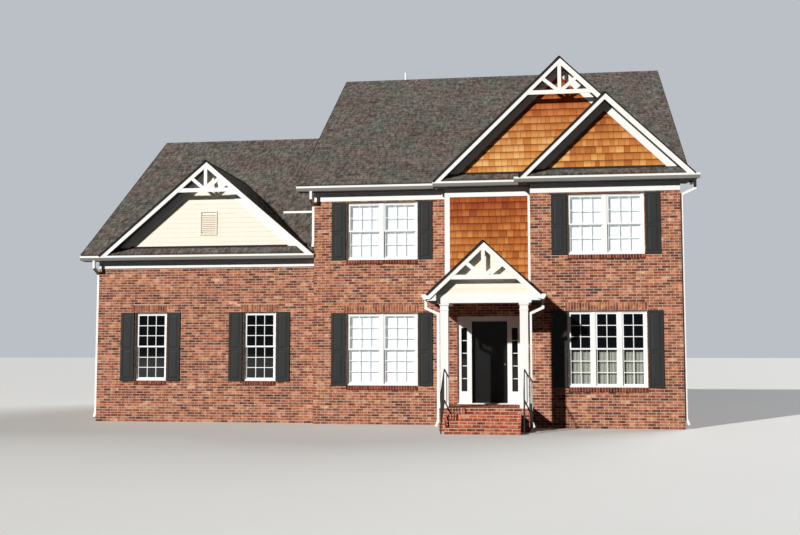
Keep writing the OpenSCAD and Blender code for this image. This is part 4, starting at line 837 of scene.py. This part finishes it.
# Lapped siding boards in the wing's and the porch's front gables and in the side gables
boards = {"rise": courseRise["siding"], "bed": 0.0, "length": (3.66, 3.66), "gap": 0.0015, "butt": 0.008,
          "head": 0.002, "stray": 1.8}
porchPeak = ridges["porch"]["top"] - porch["drop"]
fields = {"wing": [(-5.149, 4.645), (-0.747, 4.645), (-2.948, 6.531)],
          "vent": (-3.183, -2.713, 4.948, 5.604),
          "porch": [(3.411, 3.18), (5.629, 3.18), (5.629, 3.24), (4.52, porchPeak), (3.411, 3.24)],
          "side": [(0.14, 6.246), (12.9, 6.246), (6.521, 10.5)],
          "wingSide": [(0.4, 4.541), (12.0, 4.541), (6.201, 8.568)]}
mesher = Mesher()
coverFace(mesher, wingFace, fields["wing"], boards, [fields["vent"]])
coverFace(mesher, wallFace("front", porch["wall"]), fields["porch"], boards)
mesher.build("sidingBoards_front", "cream", "cream_siding")
mesher = Mesher()
coverFace(mesher, walls["right"]["face"], fields["side"], boards)
coverFace(mesher, leftFace, fields["side"], boards)
coverFace(mesher, walls["wingLeft"]["face"], fields["wingSide"], boards)
mesher.build("sidingBoards_sides", "cream", "cream_siding")

# Dark flashing where each front gable's wall meets the pent roof below it
flashing = {"proud": 0.0195, "thick": 0.003, "rise": 0.024, "reach": 0.05, "over": 0.006, "under": 0.002,
            "runs": ((entryFace, 3.83, 5.58, 6.35, mainPitch), (bayFace, 6.0, 8.867, 6.35, mainPitch),
                     (wingFace, -5.11, -0.786, 4.645, wingPitch))}
mesher = Mesher()
for face, u0, u1, foot, fall in flashing["runs"]:
    inner, outer = flashing["proud"], flashing["proud"] + flashing["thick"]
    lip = flashing["over"] - flashing["reach"] * fall
    section = [
        (flashing["reach"], foot + lip - flashing["thick"]), (flashing["reach"], foot + lip),
        (outer, foot + flashing["over"] - outer * fall), (outer, foot + flashing["rise"]),
        (inner, foot + flashing["rise"]), (inner, foot + flashing["under"] - inner * fall)]
    mesher.prism(face, section, u0, u1)
mesher.build("flashings", "edging", "asphalt_shingles")

# Soffit boards under the roofs' overhangs
soffits = {"thick": 0.006, "side": 0.15, "gable": 0.11, "foot": 0.03, "porchFoot": 0.34, "clear": 0.004}
mesher = Mesher()


def soffitBoard(face, u0, u1, run, steep, depth, foot=soffits["foot"]):
    top = run - (depth + soffits["clear"]) * steep
    mesher.box(face, u0, u1, foot, top, -depth - soffits["thick"], -depth)


def gableSoffit(gable, face, run, foot=soffits["foot"]):
    soffitBoard(face, gable["soffit"], gable["wall"], run, gable["pitch"], soffits["gable"], foot)


for gable, name in ((big, "bigGable"), (wing, "wingGable")):
    for face, region, holes in roofs[name]:
        gableSoffit(gable, face, max(v for u, v in region))
for face in (smallFace, bigRightFace):
    gableSoffit(small, face, smallRun)
for face in (roofs["porch"][0][0], roofs["porch"][2][0]):
    gableSoffit(porch, face, porchRun, soffits["porchFoot"])
for name, block in blocks.items():
    for end in ("Front", "Back"):
        for u0, u1 in block["soffits"]:
            soffitBoard(roofs[name + end][0][0], u0, u1, block["run"], block["pitch"], soffits["side"])
mesher.build("soffitBoards", "soffit", "white_trim")
print("walls clad")

# Window bars and blinds, set into the sashes that the model has
sash = {"frame": 0.045, "rail": 0.04, "lowDeep": 0.127, "highDeep": 0.097}
bar = {"half": 0.0095, "halfOverBlind": 0.0085, "upright": 0.012, "level": 0.011}
blinds = {"short": 0.05, "headDrop": 0.09, "headHigh": 0.04, "headDeep": (-0.215, -0.17), "headInset": 0.055,
          "inset": 0.06, "step": 0.044,
          "slat": ((-0.176, -0.026), (-0.178, -0.026), (-0.190, 0.022), (-0.188, 0.022))}
edge = sash["frame"] + sash["rail"]
for name, wall in walls.items():
    bars, slats = Mesher(), Mesher()
    face = wall["face"]
    for w in wall["windows"]:
        left, right, bottom, top = w["box"]
        wide = (right - left) / w["units"]
        tall = top - bottom
        sashTall = (tall - 2 * sash["frame"] + sash["rail"]) / 2
        panes = [(bottom + edge, bottom + sash["frame"] + sashTall - sash["rail"], sash["lowDeep"]),
                 (top - sash["frame"] - sashTall + sash["rail"], top - edge, sash["highDeep"])]
        columns, rows = w["bars"]
        half = bar["halfOverBlind"] if w["blind"] else bar["half"]
        for unit in range(w["units"]):
            u0 = left + unit * wide
            for v0, v1, deep in panes:
                for k in range(1, columns):
                    u = u0 + edge + (wide - 2 * edge) * k / columns
                    bars.box(face, u - half, u + half, v0, v1, -deep, bar["upright"] - deep)
                for k in range(1, rows):
                    v = v0 + (v1 - v0) * k / rows
                    bars.box(face, u0 + edge, u0 + wide - edge, v - half, v + half,
                             -deep, bar["level"] - deep)
            if w["blind"]:
                end = top - blinds["short"] - (tall - 2 * blinds["short"]) * w["blind"]
                v = top - blinds["headDrop"]
                slats.box(face, u0 + blinds["headInset"], u0 + wide - blinds["headInset"], v,
                          v + blinds["headHigh"], *blinds["headDeep"])
                while v > end:
                    slats.prism(face, [(depth, v + rise) for depth, rise in blinds["slat"]],
                                u0 + blinds["inset"], u0 + wide - blinds["inset"])
                    v -= blinds["step"]
    bars.build("windowBars_" + name, "vinyl", "white_windows")
    slats.build("blinds_" + name, "blind", "white_windows")

# Raised fields in the shutters' two panels
shutters = {"wide": 0.365, "gap": 0.018, "stile": 0.06, "rail": 0.46, "inset": 0.006,
            "deep": (0.0195, 0.0285), "bevel": 0.045}
wide, stile, inset = shutters["wide"], shutters["stile"], shutters["inset"]
mesher = Mesher()
for name in ("mainFront", "bayFront", "wingFront"):
    for w in walls[name]["windows"]:
        u0, u1, v0, v1 = w["box"]
        rail = v0 + shutters["rail"] * (v1 - v0)
        for left in (u0 - shutters["gap"] - wide, u1 + shutters["gap"]):
            for foot, top in ((v0 + stile, rail - stile / 2), (rail + stile / 2, v1 - stile)):
                mesher.box(walls[name]["face"], left + stile + inset, left + wide - stile - inset,
                           foot + inset, top - inset, *shutters["deep"], bevel=shutters["bevel"])
mesher.build("shutterPanels", "charcoal", "charcoal_paint")

# Bars across the sidelights at both sides of the front door
sidelight = {"door": 4.551, "away": 0.6325, "half": 0.0725, "foot": 0.856, "top": 2.441, "panes": 5,
             "barHalf": 0.009, "deep": (-0.13, -0.118)}
mesher = Mesher()
for side in (-1, 1):
    middle = sidelight["door"] + side * sidelight["away"]
    for k in range(1, sidelight["panes"]):
        v = sidelight["foot"] + k * (sidelight["top"] - sidelight["foot"]) / sidelight["panes"]
        mesher.box(entryFace, middle - sidelight["half"], middle + sidelight["half"],
                   v - sidelight["barHalf"], v + sidelight["barHalf"], *sidelight["deep"])
mesher.build("sidelightBars", "white", "white_trim")
print("windows barred")

# Gathered curtain on a rod behind the triple window's lower sashes
curtain = {"left": 6.5, "right": 8.34, "foot": 1.06, "rod": 1.86, "deep": 0.205, "folds": 21, "swing": 0.015,
           "wander": (1.7, 9.0), "drift": 0.5, "open": (0.55, 0.45), "uneven": (0.8, 0.2, 23.0),
           "columns": 336, "rows": 10}
columns, rows = curtain["columns"], curtain["rows"]
wander, rate = curtain["wander"]
closed, opened = curtain["open"]
even, uneven, beat = curtain["uneven"]
points, faces = [], []
for row in range(rows + 1):
    share = row / rows
    for column in range(columns + 1):
        t = column / columns
        # the folds wander a little and open out towards the hem
        wave = math.sin(2 * math.pi * curtain["folds"] * t + wander * math.sin(rate * t)
                        + curtain["drift"] * share)
        swing = curtain["swing"] * (closed + opened * share) * (even + uneven * math.sin(beat * t))
        u = curtain["left"] + (curtain["right"] - curtain["left"]) * t
        v = curtain["rod"] - (curtain["rod"] - curtain["foot"]) * share
        points.append(bayFace.point(u, v, -curtain["deep"] + swing * wave))
for row in range(rows):
    for column in range(columns):
        first = row * (columns + 1) + column
        faces.append((first, first + columns + 1, first + columns + 2, first + 1))
# the cloth's own width, along the folds halfway down
middle = rows // 2 * (columns + 1)
curtainWide = sum((points[middle + k + 1] - points[middle + k]).length for k in range(columns))
sheerMesh = newMesh("cafeCurtain", points, faces, finishes["sheer"])
for polygon in sheerMesh.polygons:
    polygon.use_smooth = True
sheer = newObject("cafeCurtain", sheerMesh)
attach(sheer, "house")
# the rod and its two end knobs: from, to, radius
rod = {"sides": 16, "lengths": ((6.476, 8.364, 0.006), (6.4728, 6.486, 0.014), (8.354, 8.3672, 0.014))}
mesher = Mesher()
rodFace = Face((0, house["bayFront"] + curtain["deep"], curtain["rod"]), (1, 0, 0), (0, 0, 1), (0, -1, 0))
angles = [2 * math.pi * k / rod["sides"] for k in range(rod["sides"])]
for u0, u1, radius in rod["lengths"]:
    mesher.prism(rodFace, [(radius * math.cos(angle), radius * math.sin(angle)) for angle in angles], u0, u1)
mesher.build("curtainRod", "vinyl", "white_windows")
print("curtain hung, %.2f m of cloth" % curtainWide)

# Floor and light
floorHalf = 400
corners = [(u, v, 0) for u, v in rectangle(-floorHalf, floorHalf, -floorHalf, floorHalf)]
floorPaint = makePaint("floorPaint", (226, 225, 222), (222, 221, 218), 0.8, 0.4, 0.05)
floor = newObject("floor", newMesh("floor", corners, [(0, 1, 2, 3)], floorPaint))
floor.visible_diffuse = False  # no glow from the pale floor up under the eaves

lights = {
    "key": {"from": (-0.62, -1.0, 0.495), "energy": 4.36, "spread": 1.5, "color": (1.0, 0.982, 0.955)},
    "fill": {"from": (0.75, 1.0, 0.8), "energy": 2.2, "spread": 40.0, "color": (0.93, 0.96, 1.0)},
}
for name, light in lights.items():
    sunData = bpy.data.lights.new(name, "SUN")
    sunData.energy = light["energy"]
    sunData.angle = math.radians(light["spread"])
    sunData.color = light["color"]
    newObject(name, sunData).rotation_euler = Vector(light["from"]).to_track_quat("Z", "Y").to_euler()
# the studio's walls look pale but give little light
studio = {"glow": ((0.86, 0.91, 1.0, 1.0), 0.036), "seen": ((0.80, 0.85, 0.92, 1.0), 0.62)}
world = bpy.data.worlds.new("studio")
world.use_nodes = True
tree = world.node_tree
glow = tree.nodes["Background"]
seen = tree.nodes.new("ShaderNodeBackground")
for node, (color, strength) in ((glow, studio["glow"]), (seen, studio["seen"])):
    node.inputs["Color"].default_value = color
    node.inputs["Strength"].default_value = strength
blend = tree.nodes.new("ShaderNodeMixShader")
tree.links.new(tree.nodes.new("ShaderNodeLightPath").outputs["Is Camera Ray"], blend.inputs[0])
tree.links.new(glow.outputs[0], blend.inputs[1])
tree.links.new(seen.outputs[0], blend.inputs[2])
tree.links.new(blend.outputs[0], tree.nodes["World Output"].inputs["Surface"])
bpy.context.scene.world = world
bpy.context.scene.view_settings.view_transform = "Standard"
print("light set")
